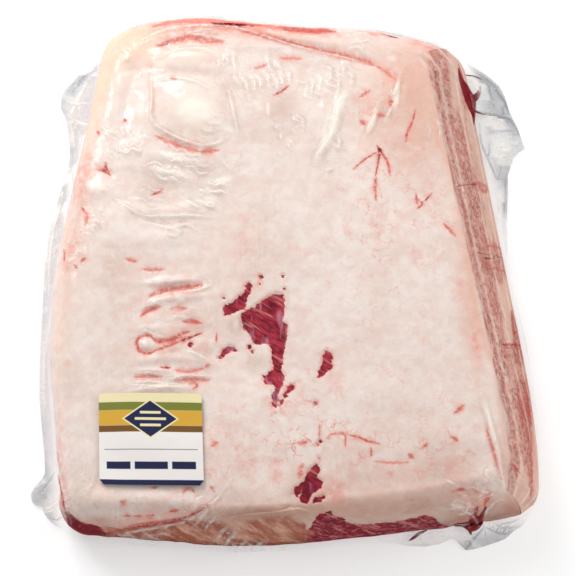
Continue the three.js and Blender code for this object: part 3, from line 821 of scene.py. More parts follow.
def lean_gap(x, y):
    """Distance in pixels to the nearest gap in the fat, negative inside one."""
    distance = np.full(x.shape, FAR_AWAY)
    for corners in LEAN_GAPS:
        distance = np.minimum(distance, near_outline(x, y, corners))
    for cx, cy, radius in LEAN_SPOTS:
        distance = np.minimum(distance, np.hypot(x - cx, y - cy) - radius)
    return distance


def nearest_stroke(x, y, strokes, reach=16):
    """The nearest of the strokes (line, half width, ...) at each place.

    Returns the distance to it, the signed distance square to it, its taper and its own numbers.
    The taper is 2 sqrt(t (1 - t)) at the share t along the stroke, and at least 0.3.
    """
    near, square = np.full(x.shape, FAR_AWAY), np.full(x.shape, FAR_AWAY)
    taper = np.zeros(x.shape)
    numbers = np.ones((len(strokes[0]) - 1, *x.shape))
    for line, half_width, *others in strokes:
        low, high = line.min(0) - reach, line.max(0) + reach
        at = np.flatnonzero((x > low[0]) & (x < high[0]) & (y > low[1]) & (y < high[1]))
        distance, side, share = near_line(x[at], y[at], line)
        closer = distance - half_width < near[at] - numbers[0, at]
        chosen = at[closer]
        near[chosen], square[chosen] = distance[closer], side[closer]
        taper[chosen] = np.sqrt(np.clip(4 * share * (1 - share), 0.1, 1))[closer]
        numbers[:, chosen] = np.array([half_width, *others])[:, None]
    return near, square, taper, numbers


def behind(points):
    """1 low on the back, which the photograph doesn't show, and 0 where it can see."""
    return smooth(points[:, 1], *BACK_BEGINS) * (1 - smooth(points[:, 2], *BACK_HIDDEN_BELOW))


def meat_marks(points):
    """Every mark at each point, as attributes for the shader, and the crease's depth in mm."""
    x, y = photo_place(points)
    away = FAR_AWAY * behind(points)
    near, square, taper, (width, red, depth) = nearest_stroke(x, y, blood_curves)
    near = near + away
    crease = depth * taper * np.exp(-((near / (1.4 * width + 0.8)) ** 2))
    marks = {
        "gap": lean_gap(x, y) + away,
        "line_near": near,
        "line_square": square,
        "line_width": width * taper,
        "line_red": red,
        **{name: bells(x, y, fields) for name, fields in SOFT_FIELDS.items()},
        "juice": juice_depth(x, y),
    }
    return marks, crease


# %% [markdown]
# ## The lie of the fat
# Under the bag the fat is lumpy: pillows stand up between folds. These lumps belong to fat and
# bag both, so one function gives them, and the bag is later laid over the same shape. The gaps
# are sunk a little, because torn fat is thinner than the rest.

# %% Lumps and hollows of the fat: x, y, half length, half width, angle, height in mm
LUMP_SCALE = 1.35
LUMPS = [
    (190, 107, 34, 31, 0, 3.2), (188, 57, 30, 8, 2, 2.0), (188, 73, 32, 4.5, 4, -1.3),
    (130, 58, 16, 12, -30, 1.2), (116, 92, 12, 18, 10, 1.0), (133, 112, 9, 16, 0, 0.9),
    (97, 188, 15, 11, 10, 1.7), (103, 170, 10, 4, 20, -0.8), (180, 160, 26, 5, 12, 1.0),
    (170, 174, 22, 4, 12, 0.8), (165, 212, 40, 6, 0, 1.0), (165, 238, 34, 8, 0, 0.7),
    (120, 228, 18, 20, 0, 0.8), (330, 115, 20, 32, 10, 1.6), (262, 110, 22, 22, 0, 1.0),
    (300, 40, 60, 4, 8, 0.9), (250, 46, 50, 7, 4, 1.2), (385, 105, 12, 12, 0, 0.7),
    (394, 88, 5, 9, 10, 0.8), (372, 122, 7, 10, 0, 0.8), (170, 281, 22, 3.5, -4, 1.3),
    (190, 297, 24, 4, -6, 1.2), (160, 301, 14, 3, -14, 0.9), (150, 328, 16, 4, 0, 0.8),
    (146, 344, 5, 6, 0, 1.3), (205, 345, 12, 7, 0, 0.9), (165, 358, 26, 4, -6, 0.9),
    (190, 360, 14, 3, 0, 0.7), (160, 371, 22, 2.6, 0, 0.9), (185, 376, 22, 2.6, 0, 0.9),
    (165, 388, 26, 3.4, 0, 0.8), (236, 322, 8, 9, 0, 0.9), (100, 300, 26, 40, 10, 0.8),
    (262, 358, 9, 8, 0, 0.8), (240, 400, 26, 22, 0, 0.9), (330, 330, 40, 60, 0, 0.7),
    (420, 330, 40, 60, 0, 0.6), (150, 497, 20, 7, 0, 1.0), (180, 500, 14, 8, 0, 0.9),
    (100, 500, 16, 12, 0, 0.8), (220, 480, 22, 22, 0, 0.7), (288, 510, 4, 16, 25, -0.8),
    (200, 536, 3, 10, 40, 1.2), (220, 535, 3, 10, 40, -1.0), (236, 537, 4, 11, 40, 1.2),
    (258, 537, 4, 12, 40, -1.2), (276, 534, 5, 12, 35, 1.4), (180, 537, 3, 9, 42, 0.9),
    (460, 508, 9, 4, -10, 1.3), (452, 516, 12, 3.5, -4, 1.2), (478, 492, 4, 6, 30, 1.1),
    (490, 482, 5, 4, -30, 0.9), (350, 400, 50, 30, 0, 0.5), (360, 480, 40, 16, 0, 0.6),
    (300, 470, 10, 14, 20, 0.5), (418, 150, 14, 40, 0, 0.5),
]
SHOULDER_SOFTENING = 0.8
SHOULDER_REACH = 12.0  # pixels
GAP_DEPTH = 1.1
GAP_RIM = (-1.5, 2.5)  # pixels from the gap's edge: sunk in full, and not at all
front_shoulder = np.stack(photo_place(wall(np.linspace(2.0, 3.0, 41), 0)), 1)


def lumps(points):
    """Height of the lumps: listed bells and unevenness, less a bell along the front shoulder."""
    x, y = photo_place(points)
    uneven = 0.45 * noise(x / 26, y / 22, 3) + 0.22 * noise(x / 9, y / 8, 4)
    near, _, _ = near_line(x, y, front_shoulder)
    softened = SHOULDER_SOFTENING * np.exp(-((near / SHOULDER_REACH) ** 2))
    return LUMP_SCALE * bells(x, y, LUMPS) + uneven - softened


def gap_sink(gap):
    """How deep the fat is sunk at a distance from the edge of a gap."""
    return GAP_DEPTH * (1 - smooth(gap, *GAP_RIM))


# %% [markdown]
# ## Shader maths as plain Python
# A node tree is a formula, and it reads best as one. The class below wraps an output socket.
# Adding or multiplying two of them adds a Math node, so a mask can be written as `1 - mask`.
# Everything else a tree needs, such as a noise or a colour mix, comes from the method `node`, and
# what is needed often has a short method of its own.


# %% A socket with operators
class Wire:
    """An output socket of a material, or the bare tree before the first node."""

    def __init__(self, tree, socket=None):
        self.tree = tree
        self.socket = socket

    def node(self, kind, settings=None, inputs=None, output=0):
        """Adds a node: its settings, then a value or a wire for each named or numbered input."""
        made = self.tree.nodes.new(kind)
        for key, value in (settings or {}).items():
            setattr(made, key, value)
        for key, value in (inputs or {}).items():
            if isinstance(value, Wire):
                self.tree.links.new(value.socket, made.inputs[key])
            else:
                made.inputs[key].default_value = value
        return Wire(self.tree, made.outputs[output])

    def math(self, operation, *others):
        """One Math node of this wire and the others."""
        inputs = dict(enumerate((self, *others)))
        return self.node("ShaderNodeMath", {"operation": operation}, inputs)

    def __add__(self, other):
        return self.math("ADD", other)

    __radd__ = __add__

    def __mul__(self, other):
        return self.math("MULTIPLY", other)

    __rmul__ = __mul__

    def __sub__(self, other):
        return self.math("SUBTRACT", other)

    def __rsub__(self, other):
        return self.node("ShaderNodeMath", {"operation": "SUBTRACT"}, {0: other, 1: self})

    def __truediv__(self, other):
        return self.math("DIVIDE", other)

    def __abs__(self):
        return self.math("ABSOLUTE")

    def at_least(self, other):
        """The greater of the two."""
        return self.math("MAXIMUM", other)

    def limited(self):
        """This wire held between 0 and 1."""
        return self.node("ShaderNodeClamp", {}, {"Value": self})

    def step(self, low, high):
        """0 where this wire is below low, 1 above high, and smooth between them."""
        return self.node(
            "ShaderNodeMapRange",
            {"interpolation_type": "SMOOTHSTEP"},
            {"Value": self, "From Min": low, "From Max": high},
        )

    def blend(self, start, end):
        """A colour from start to end by this wire. Colours are wires or (r, g, b, 1)."""
        return self.node("ShaderNodeMix", {"data_type": "RGBA"}, {0: self, 6: start, 7: end}, 2)

    def attribute(self, name):
        """A number that the mesh carries at each point."""
        return self.node("ShaderNodeAttribute", {"attribute_name": name}, {}, "Fac")

    def position(self, scale=(1, 1, 1), turn=(0, 0, 0)):
        """Place on the object in metres, turned and then stretched."""
        place = self.node("ShaderNodeTexCoord", {}, {}, "Object")
        turned = self.node("ShaderNodeMapping", {}, {"Vector": place, "Rotation": turn})
        return self.node("ShaderNodeMapping", {}, {"Vector": turned, "Scale": scale})

    def cloud(self, vector, cell_mm, detail=2.0, roughness=0.5, distortion=0.0, output="Fac"):
        """Noise from 0 to 1 whose lumps are about cell_mm across."""
        return self.node(
            "ShaderNodeTexNoise",
            {},
            {
                "Vector": vector,
                "Scale": 1 / (cell_mm * METRE_PER_MM),
                "Detail": detail,
                "Roughness": roughness,
                "Distortion": distortion,
            },
            output,
        )

    def cells(self, vector, cell_mm, feature="F1", output="Distance"):
        """Voronoi cells about cell_mm across."""
        return self.node(
            "ShaderNodeTexVoronoi",
            {"feature": feature},
            {"Vector": vector, "Scale": 1 / (cell_mm * METRE_PER_MM)},
            output,
        )

    def axis(self, name):
        """One coordinate of this vector, by its letter."""
        return self.node("ShaderNodeSeparateXYZ", {}, {0: self}, name)

    def moved_by(self, vector, amount):
        """This vector plus another one times an amount."""
        scaled = self.node(
            "ShaderNodeVectorMath", {"operation": "SCALE"}, {0: vector, "Scale": amount}
        )
        return self.node("ShaderNodeVectorMath", {"operation": "ADD"}, {0: self, 1: scaled})

    def bump(self, strength, distance, settings=None):
        """Normal of a surface raised by this wire, where 1 stands for a distance in metres."""
        inputs = {"Strength": strength, "Distance": distance, "Height": self}
        return self.node("ShaderNodeBump", settings, inputs, "Normal")


LIGHT_LEVEL = 1.1  # a level white surface would come out this much brighter than white


def colour(code):
    """Linear (r, g, b, 1) of a screen colour: ((c + 0.055) / 1.055)^2.4 over the light's level."""
    c = np.array([int(code[i : i + 2], 16) for i in (0, 2, 4)]) / 255
    linear = np.where(c > 0.04045, ((c + 0.055) / 1.055) ** 2.4, c / 12.92)
    return (*(linear / LIGHT_LEVEL).tolist(), 1.0)


def new_material(name, settings):
    """A material, its tree and its one Principled shader, which gets the plain settings."""
    made = bpy.data.materials.new(name)
    made.use_nodes = True
    shader = made.node_tree.nodes["Principled BSDF"]
    for key, value in settings.items():
        shader.inputs[key].default_value = value
    return made, Wire(made.node_tree), shader


def feed(wire, shader, key):
    """Links a wire to the shader's socket."""
    wire.tree.links.new(wire.socket, shader.inputs[key])


print("cream in linear light", [round(c, 2) for c in colour("EBDDCF")])

# %% [markdown]
# ## Finish of the fat
# Chilled beef fat is creamy with a pink cast, slightly see-through, and full of small red marks.
# A photograph of it could be wrapped on, but then it would fit one view only. Here each kind of
# mark is a mask, and the masks lay colours over each other, from soft to sharp: cream and pink,
# yellow, rose, painted shade, painted shade down the front wall, blush, painted highlight (in
# places paler fat), threads, flecks, blood lines, and last the lean in the gaps.

# %% Colours of meat
FAT_CREAM = colour("F2E6DE")
FAT_PINK = colour("EBD6CC")
FAT_ROSE = colour("E8BFAE")
# painted highlight colour, in places paler fat
FAT_HIGHLIGHT_AND_PALE = colour("FFF6EA")
FAT_YELLOW = colour("F5D4BC")
# painted shade colour
FAT_PAINTED_SHADE = colour("C29C8A")
FAT_SALMON = colour("EDA091")
# painted shade at the foot of the front wall
FAT_FOOT_SHADE = colour("9C6250")
BLOOD_SALMON = colour("E98D7E")
BLOOD_RED = colour("C95850")
BLOOD_DARK = colour("7A1C2A")
LEAN_DARK = colour("6E1A2A")
LEAN_RED = colour("BC3F4E")
LEAN_SHEEN = colour("CC8CA4")
LEAN_FIBRE = colour("DA9084")
JUICE_RED = colour("841820")
FIBRE_TURN = np.radians(-57)
FRONT_WALL = (-0.178, -0.160)  # metres along the slab: the front wall lies before it
# Painted shade darkens the fat towards the foot of the front wall between these levels.
FRONT_SHADE_LEVELS = (0.012, 0.050)  # metres up: the fat darkens down the front wall between them


def painted_shade_low_in_front(tree):
    """1 at the foot of the front wall and 0 at its shoulder and behind: where shade is painted."""
    place = tree.position()
    return (1 - place.axis("Y").step(*FRONT_WALL)) * (1 - place.axis("Z").step(*FRONT_SHADE_LEVELS))


def blood_mask(tree):
    """The blood lines: 1 within a half width that swells and thins, blotchy, faded at the ends."""
    grain = tree.cloud(tree.position(), 1.5, 2.0)
    swell = tree.cloud(tree.position(), 4.5, 2.0, 0.6)
    width = tree.attribute("line_width") * (0.45 + swell * 1.3)
    away = abs(tree.attribute("line_square") + (grain - 0.5) * 2.0)
    core = 1 - (away / width).step(0.2, 1.6)
    ends = 1 - (tree.attribute("line_near") - width).step(0.2, 2.2)
    blotch = tree.cloud(tree.position(), 2.6, 4.0, 0.7).step(0.38, 0.56)
    return core * ends * (0.3 + blotch * 0.7) * (0.6 + tree.attribute("line_red") * 0.6)


def blood_colour(tree):
    """Salmon to red to near black, by the line's own redness and a little cloud."""
    redness = tree.attribute("line_red") + (tree.cloud(tree.position(), 3.0, 2.0) - 0.5) * 0.5
    fresh = redness.step(0.0, 0.55).blend(BLOOD_SALMON, BLOOD_RED)
    return redness.step(0.5, 1.0).blend(fresh, BLOOD_DARK)


def stained(tree, base):
    """A colour with the blood lines laid over it, and the trails of juice over both."""
    base = blood_mask(tree).limited().blend(base, blood_colour(tree))
    return tree.attribute("juice").step(-0.3, 0.4).blend(base, JUICE_RED)


def lean_colour(tree):
    """Lean with its grain: dark and red fibres one way, a few pale ones, and a mauve sheen."""
    grain = tree.cloud(tree.position((1, 0.14, 1), (0, 0, FIBRE_TURN)), 1.2, 3.0, 0.6)
    broad = tree.cloud(tree.position(), 8.0, 2.0)
    sheen = tree.cloud(tree.position((1, 0.25, 1)), 5.0, 2.0).step(0.56, 0.7) * 0.6
    pale = tree.cloud(tree.position((1, 0.08, 1), (0, 0, FIBRE_TURN)), 2.4, 2.0).step(0.58, 0.7)
    red = (grain * 0.8 + broad * 0.5).step(0.45, 0.85).blend(LEAN_DARK, LEAN_RED)
    return (pale * 0.7).blend(sheen.blend(red, LEAN_SHEEN), LEAN_FIBRE)


def torn_gap(tree):
    """Distance to a gap in the fat, its edge torn by notches along the fibres and by bays."""
    notch = tree.cloud(tree.position((1, 0.35, 1), (0, 0, FIBRE_TURN)), 2.6, 3.0, 0.65)
    bay = tree.cloud(tree.position(), 6.0, 2.0)
    return tree.attribute("gap") + (notch - 0.5) * 7.0 + (bay - 0.5) * 3.0


def fat_colour(tree):
    """Fat: soft fields, painted shade and highlight among them, broken up by mottle, then threads,
    flecks and blood lines.
    """
    place = tree.position()
    broad = tree.cloud(place, 34.0, 3.0, 0.55)
    mottle = tree.cloud(place, 6.5, 4.0, 0.6, 0.5)
    grain = tree.cloud(place, 1.6, 3.0, 0.6)
    base = (broad * 0.6 + mottle * 0.6).step(0.42, 0.78).blend(FAT_CREAM, FAT_PINK)
    base = (tree.attribute("yellow") * (0.55 + mottle * 0.6)).limited().blend(base, FAT_YELLOW)
    base = (tree.attribute("rose") * (0.45 + mottle * 0.8)).limited().blend(base, FAT_ROSE)
    # painted shade in the folds, valleys and on the front roll
    base = (tree.attribute("painted_shade") * (0.25 + mottle * 0.9)).limited().blend(base, FAT_PAINTED_SHADE)
    # painted shade, darker towards the foot of the front wall
    base = (painted_shade_low_in_front(tree) * (0.45 + mottle * 0.6)).limited().blend(base, FAT_FOOT_SHADE)
    soaked = (tree.attribute("blush") + 0.04) * (mottle * 0.6 + grain * 0.4).step(0.36, 0.62)
    base = soaked.limited().blend(base, FAT_SALMON)
    # painted highlights, in places paler fat
    highlight_and_pale = (tree.attribute("highlight_and_pale") + (mottle - 0.5) * 0.7).step(0.3, 0.95) * 0.9
    base = highlight_and_pale.blend(base, FAT_HIGHLIGHT_AND_PALE)
    bent = place.moved_by(tree.cloud(place, 5.0, 3.0, output="Color"), 0.009)
    threads = tree.cells(bent, 9.0, "DISTANCE_TO_EDGE")
    thread = 1 - (threads + (grain - 0.5) * 0.16).step(0.0, 0.06)
    patchy = tree.cloud(place, 12.0, 2.0).step(0.46, 0.62)
    base = (thread * patchy * tree.attribute("flecks") * 0.8).limited().blend(base, BLOOD_SALMON)
    speck = tree.cloud(place, 3.2, 3.0, 0.7).step(0.58, 0.72) * tree.attribute("flecks") * patchy
    base = (speck * 0.8).limited().blend(base, BLOOD_SALMON)
    halo_width = tree.attribute("line_width") * 3.4 + 2.5
    spread = 1 - (tree.attribute("line_near") / halo_width).step(0.0, 1.0)
    base = (spread * mottle.step(0.32, 0.6) * 0.6).blend(base, FAT_SALMON)
    spatter = (tree.cloud(place, 2.0, 4.0, 0.75) + spread * 0.3).step(0.72, 0.84) * spread
    base = (spatter * 0.7).limited().blend(base, BLOOD_SALMON)
    return stained(tree, base)


# %% The fat's material
fat_finish, tree, fat_shader = new_material(
    "fat_finish",
    {
        "Roughness": 0.42,
        "Subsurface Weight": 0.1,
        "Subsurface Radius": (1.0, 0.45, 0.3),
        "Subsurface Scale": 0.003,
        "Specular IOR Level": 0.02,
    },
)
grain = tree.cloud(tree.position(), 1.8, 3.0, 0.6)
gap = torn_gap(tree)
halo = (1 - gap.step(0.2, 4.0)) * tree.cloud(tree.position(), 3.0, 3.0, 0.7).step(0.4, 0.6)
base = (halo * 0.8).blend(fat_colour(tree), FAT_SALMON)
# the lean in the gaps darkened by the same painted shade
lean_with_painted_shade = tree.attribute("painted_shade").limited().blend(lean_colour(tree), LEAN_DARK)
base = (1 - gap.step(-0.5, 0.6)).blend(base, lean_with_painted_shade)
feed(base, fat_shader, "Base Color")
fat_grain = tree.cloud(tree.position(), 6.0, 4.0, 0.6) * 0.5 + grain * 0.2
feed(fat_grain.bump(0.6, 0.001), fat_shader, "Normal")
print("fat_finish nodes", len(fat_finish.node_tree.nodes))

# %% [markdown]
# ## The fat cap
# The real fat cap covers the top and rolls over the left edge. It is one thick layer, so the mesh
# is a closed body too: the lumpy sheet on top, a wall down to the fat's edge, and a plain sheet
# underneath. It replaces the fixed model's fat cap.

# %% Make the fat cap
FAT_COLUMNS = 262
FAT_ROWS = 300
FAT_WALL_LEVELS = 10
FAT_UNDER = [0.06, 0.14, 0.26, 0.45, 0.75]

fat_u = np.linspace(0, 1, FAT_COLUMNS + 1)
fat_v = np.linspace(0, 1, FAT_ROWS + 1)
fat_s = rim_places(fat_u, fat_v)
fat_levels = np.arange(1, FAT_WALL_LEVELS + 1) / FAT_WALL_LEVELS
fat_rings = [wall(fat_s, k * fat_edge(fat_s)) for k in fat_levels]
fat_rings += drawn_in(lambda u, v: layer(fat_edge, 0, u, v), fat_s, FAT_UNDER)
fat_pole = layer(fat_edge, 0, np.array([0.5]), np.array([0.5]))[0]
fat_points = shell_points(fat_u, fat_v, top, fat_rings, fat_pole)
fat_quads, fat_fan = shell_faces(len(fat_v), len(fat_u), len(fat_rings))

fat_marks, fat_crease = meat_marks(fat_points)
fat_skin_size = len(fat_u) * len(fat_v) + (FAT_WALL_LEVELS - 1) * len(fat_s)
fat_skin = np.arange(len(fat_points)) < fat_skin_size
fat_relief = lumps(fat_points) - fat_crease - gap_sink(fat_marks["gap"])
fat_lift = np.where(fat_skin, fat_relief, 0)
fat_points += point_normals(fat_points, fat_quads) * fat_lift[:, None]
fat_cap = make_piece("fat", fat_points, fat_quads, fat_fan, fat_marks)
fat_cap.data.materials.append(fat_finish)
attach(fat_cap, "root")
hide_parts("fat_cap")

# %% [markdown]
# ## The lean
# Lean shows below the fat at the front, at the back and at the front left corner, and it makes
# the whole underside. At the front a thin brownish skin covers it, with streaks of fat. Painted
# shade darkens the lean on the front wall and the skin towards the foot. The body under the fat is
# hidden, so its mesh is coarse on top and fine on the sides.

# %% Finish of the lean
MEMBRANE = colour("A8604C")
MEMBRANE_PALE = colour("DCAA92")
# painted shade at the foot of the skin
FOOT_PAINTED_SHADE = colour("5A241E")
STREAK_TURN = (0, float(np.radians(38)), 0)
SKIN_FIELDS = [
    (160, 536, 50, 16, 3, 1.2), (225, 538, 60, 16, 0, 1.3), (280, 536, 24, 18, 0, 1.6),
    (130, 538, 26, 10, 6, 0.9),
]
FRONT_FAT = (-0.14, -0.13)  # metres along the slab: the front's streaks of fat end between them
FAT_LEVELS = (0.016, 0.026)  # metres up: the fat thins out over the lean between them
# Painted shade darkens the skin towards the foot between these levels.
FOOT_SHADE_LEVELS = (0.004, 0.026)  # metres up: the skin browns down between them

lean_finish, tree, lean_shader = new_material(
    "lean_finish", {"Roughness": 0.4, "Specular IOR Level": 0.0}
)
place = tree.position()
grain = tree.cloud(place, 1.8, 3.0, 0.6)
mottle = tree.cloud(place, 7.0, 3.0)
level = place.axis("Z") + (mottle - 0.5) * 0.012
in_front = 1 - place.axis("Y").step(*FRONT_FAT)
# painted shade: the lean is darker on the front wall
body = (in_front * 0.5).blend(lean_colour(tree), LEAN_DARK)
seams = tree.cloud(tree.position((0.45, 0.45, 1.6)), 8.0, 3.0, 0.55, 0.6)
seam = 1 - abs(seams - 0.5).step(0.0, 0.035)
body = (seam * mottle.step(0.4, 0.6) * 0.5).limited().blend(body, LEAN_FIBRE)
strands = tree.cloud(tree.position((1, 0.3, 0.2), STREAK_TURN), 3.6, 3.0, 0.6, 0.3)
body = (strands.step(0.54, 0.64) * 0.55).blend(body, LEAN_FIBRE)
gap = torn_gap(tree)
fatty = gap.step(-0.6, 0.6) * in_front.at_least(level.step(*FAT_LEVELS))
body = fatty.blend(body, fat_colour(tree))
streaks = tree.cloud(tree.position((1, 0.3, 0.22), STREAK_TURN), 6.0, 2.0, 0.5, 0.3)
skin = (streaks * 0.8 + grain * 0.25).step(0.42, 0.74).blend(MEMBRANE, MEMBRANE_PALE)
# painted shade, darker towards the foot
skin = ((1 - level.step(*FOOT_SHADE_LEVELS)) * 0.6).blend(skin, FOOT_PAINTED_SHADE)
body = (tree.attribute("skin") + (mottle - 0.5) * 0.5).step(0.3, 0.8).blend(body, skin)
feed(stained(tree, body), lean_shader, "Base Color")
feed((grain + seam * 0.5).bump(0.35, 0.0008), lean_shader, "Normal")
print("lean_finish nodes", len(lean_finish.node_tree.nodes))

# %% Make the lean
LEAN_COLUMNS = 150
LEAN_ROWS = 190
LEAN_LEVELS = 60
LEAN_FLOOR = [0.1, 0.22, 0.36, 0.52, 0.7, 0.87]
LEAN_SMOOTH_LEVELS = 4  # next to the foot
LEAN_BARE_UNTIL = 150  # mm to the right: beyond it the bones cover the lean
REST_HEIGHT = 0.8

lean_share = np.linspace(0, 1, LEAN_COLUMNS + 1)
lean_v = np.linspace(0, 1, LEAN_ROWS + 1)
lean_s = rim_places(lean_share, lean_v)
lean_rim_share, lean_rim_v = square_place(lean_s)


def lean_side(k):
    """Ring of the lean at k: the slab's side, but the cut face where the row of bones begins."""
    u = lean_rim_share * BONE_START
    on_side = np.where(lean_s < 1, u, np.where(lean_s < 2, 1, np.where(lean_s < 3, 3 - u, lean_s)))
    ring = lower_wall(on_side, k)
    at_cut = lean_rim_share == 1
    ring[at_cut] = cut_face(lean_rim_v[at_cut], k)
    return ring


lean_levels = np.arange(1, LEAN_LEVELS + 1) / LEAN_LEVELS
lean_rings = [lean_side(k) for k in lean_levels]
lean_rings += drawn_in(lambda share, v: foot(share * BONE_START, v), lean_s, LEAN_FLOOR)
lean_pole = foot(np.array([BONE_START / 2]), np.array([0.5]))[0]
lean_points = shell_points(
    lean_share,
    lean_v,
    lambda share, v: layer(lean_edge, LAYER_GAP, share * BONE_START, v),
    lean_rings,
    lean_pole,
)
lean_points[:, 2] = np.maximum(lean_points[:, 2], REST_HEIGHT)
lean_quads, lean_fan = shell_faces(len(lean_v), len(lean_share), len(lean_rings))
lean_marks, lean_crease = meat_marks(lean_points)
lean_x, lean_y = photo_place(lean_points)
lean_marks["skin"] = bells(lean_x, lean_y, SKIN_FIELDS)
lean_sheet_size = len(lean_v) * len(lean_share)
lean_ring_of = (np.arange(len(lean_points)) - lean_sheet_size) // len(lean_s)
rough_end = LEAN_LEVELS - LEAN_SMOOTH_LEVELS
on_side = (lean_ring_of >= 0) & (lean_ring_of < rough_end)
bare = on_side & (lean_points[:, 0] < LEAN_BARE_UNTIL)
rounding = smooth(lean_ring_of, 0, 8) * (1 - smooth(lean_ring_of, rough_end - 12, rough_end))
lean_uneven = 0.5 * noise(lean_x / 12, lean_y / 12, 9)
lean_relief = bells(lean_x, lean_y, LUMPS) + lean_uneven - lean_crease - 0.2
lean_lift = np.where(bare, lean_relief * rounding, 0)
lean_points += point_normals(lean_points, lean_quads) * lean_lift[:, None]
lean = make_piece("lean", lean_points, lean_quads, lean_fan, lean_marks)
lean.data.materials.append(lean_finish)
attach(lean, "root")
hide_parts("lean_slab")

# %% [markdown]
# ## The sawn bones
# Along the right side the saw has opened a row of spongy bones: pale walls round dark red
# pockets, drawn out along the row, with paler smooth stretches and hard lines that run the
# length. Each bone is a slab of its own, from the cut behind it out to the sawn face. The pockets
# are Voronoi cells, stretched along the row and warped, with a cloud of marrow laid over them.

# %% Finish of the bone
BONE_PALE = colour("E6BCAC")
BONE_TAN = colour("D8B4A2")
BONE_FLUSH = colour("D2948A")
BONE_RED = colour("BA5F52")
BONE_DARK = colour("904438")
BONE_LINE = colour("FFE2D6")
POCKET_MM = 2.1

bone_finish, tree, bone_shader = new_material(
    "bone_finish", {"Roughness": 0.5, "Specular IOR Level": 0.0}
)
ROW_TURN = -float(np.arctan2(SIDE_NORMALS[1][1], SIDE_NORMALS[1][0]))
place = tree.position()
warp = tree.cloud(place, 4.0, 2.0, output="Color")
row = tree.position((1, 0.60, 0.8), (0, 0, ROW_TURN)).moved_by(warp, 0.0022)
mottle = tree.cloud(place, 5.0, 3.0)
flush = tree.cloud(tree.position((1, 0.22, 0.8), (0, 0, ROW_TURN)), 5.5, 2.0)
spongy = (tree.attribute("spongy") + 0.08 + (flush - 0.5) * 0.9).step(0.12, 0.6)
wall_distance = tree.cells(row, POCKET_MM, "DISTANCE_TO_EDGE")
pick = tree.cells(row, POCKET_MM, "F1", "Color")
pick = tree.node("ShaderNodeSeparateColor", {}, {0: pick}, "Red")
marrow = tree.cloud(row, 4.2, 4.0, 0.7).step(0.46, 0.58)
hollow = wall_distance.step(0.05, 0.22) * pick.step(0.1, 0.5)
pocket = (marrow * 0.4 + hollow * 0.85).limited() * spongy
body = mottle.step(0.35, 0.7).blend(BONE_TAN, BONE_PALE)
blotch = tree.cloud(row, 7.0, 3.0, 0.65).step(0.42, 0.6)
body = (spongy * (blotch * 0.6 + mottle * 0.5)).limited().blend(body, BONE_FLUSH)
depth_tone = (tree.cloud(row, 5.0, 2.0) + tree.attribute("redness") * 0.25).step(0.45, 0.72)
body = (pocket * 0.85).blend(body, depth_tone.blend(BONE_RED, BONE_DARK))
body = (tree.attribute("redness") * mottle.step(0.3, 0.55) * 0.6).limited().blend(body, BONE_RED)
line = tree.attribute("hard_line") * mottle.step(0.25, 0.5)
body = (line * 0.85).limited().blend(body, BONE_LINE)
lip = tree.attribute("fat_lip") * (0.5 + mottle * 0.5)
body = lip.limited().blend(body, FAT_PINK)
feed(stained(tree, body), bone_shader, "Base Color")
feed(pocket.bump(0.6, 0.001, {"invert": True}), bone_shader, "Normal")
print("bone_finish nodes", len(bone_finish.node_tree.nodes))

# %% Make the bones
BONE_DOWN = 44
BONE_CELL = 1.6
BONE_ROW_LENGTH = float(side_lengths[1][-1])
PIT_DEPTH = 0.35
LINE_WAVER = 0.02
LIP_WAVER = 0.03
BONE_LINES = [  # share of the way down, half width as a share, strength
    (0.06, 0.014, 0.5),
    (0.17, 0.022, 0.7),
    (0.39, 0.012, 0.7),
    (0.56, 0.014, 0.8),
    (0.76, 0.012, 0.5),
    (0.91, 0.020, 0.4),
]
SPONGE = [  # spongy stretches: x, y, half length, half width, angle, amount, in the photograph
    (441, 90, 46, 9, 84, 1.1), (452, 166, 46, 10, 72, 1.2), (458, 142, 26, 9, 76, 0.9),
    (470, 186, 20, 8, 74, 0.9), (472, 214, 34, 9, 77, 1.2), (478, 262, 28, 8, 80, 1.1),
    (484, 300, 22, 8, 80, 1.0), (491, 318, 30, 8, 81, 1.2), (497, 262, 20, 9, 80, 0.9),
    (494, 357, 16, 9, 80, 0.9), (503, 400, 38, 9, 82, 1.3), (523, 405, 26, 7, 82, 1.3),
    (514, 440, 20, 9, 82, 0.9), (512, 468, 10, 8, 80, 0.9), (529, 460, 32, 3, 85, 0.8),
    (515, 330, 16, 3, 80, 0.8), (517, 356, 10, 6, 80, 0.9), (500, 488, 10, 12, 0, 0.4),
    (504, 226, 14, 4, 80, 0.5), (466, 100, 14, 4, 75, 0.4),
]
REDNESS = [  # where the bone is reddest
    (446, 165, 40, 3, 72, 1.0), (440, 90, 40, 4, 84, 0.5), (469, 225, 24, 4, 77, 0.9),
    (487, 318, 22, 4, 81, 0.8), (526, 412, 40, 5, 82, 1.5), (518, 352, 12, 6, 80, 1.0),
    (515, 328, 16, 2.4, 80, 1.2), (503, 400, 34, 7, 82, 0.5), (478, 187, 8, 3, 20, 1.0),
    (508, 466, 8, 5, 0, 0.7), (484, 262, 20, 4, 80, 0.6), (500, 490, 14, 6, 30, 0.5),
]
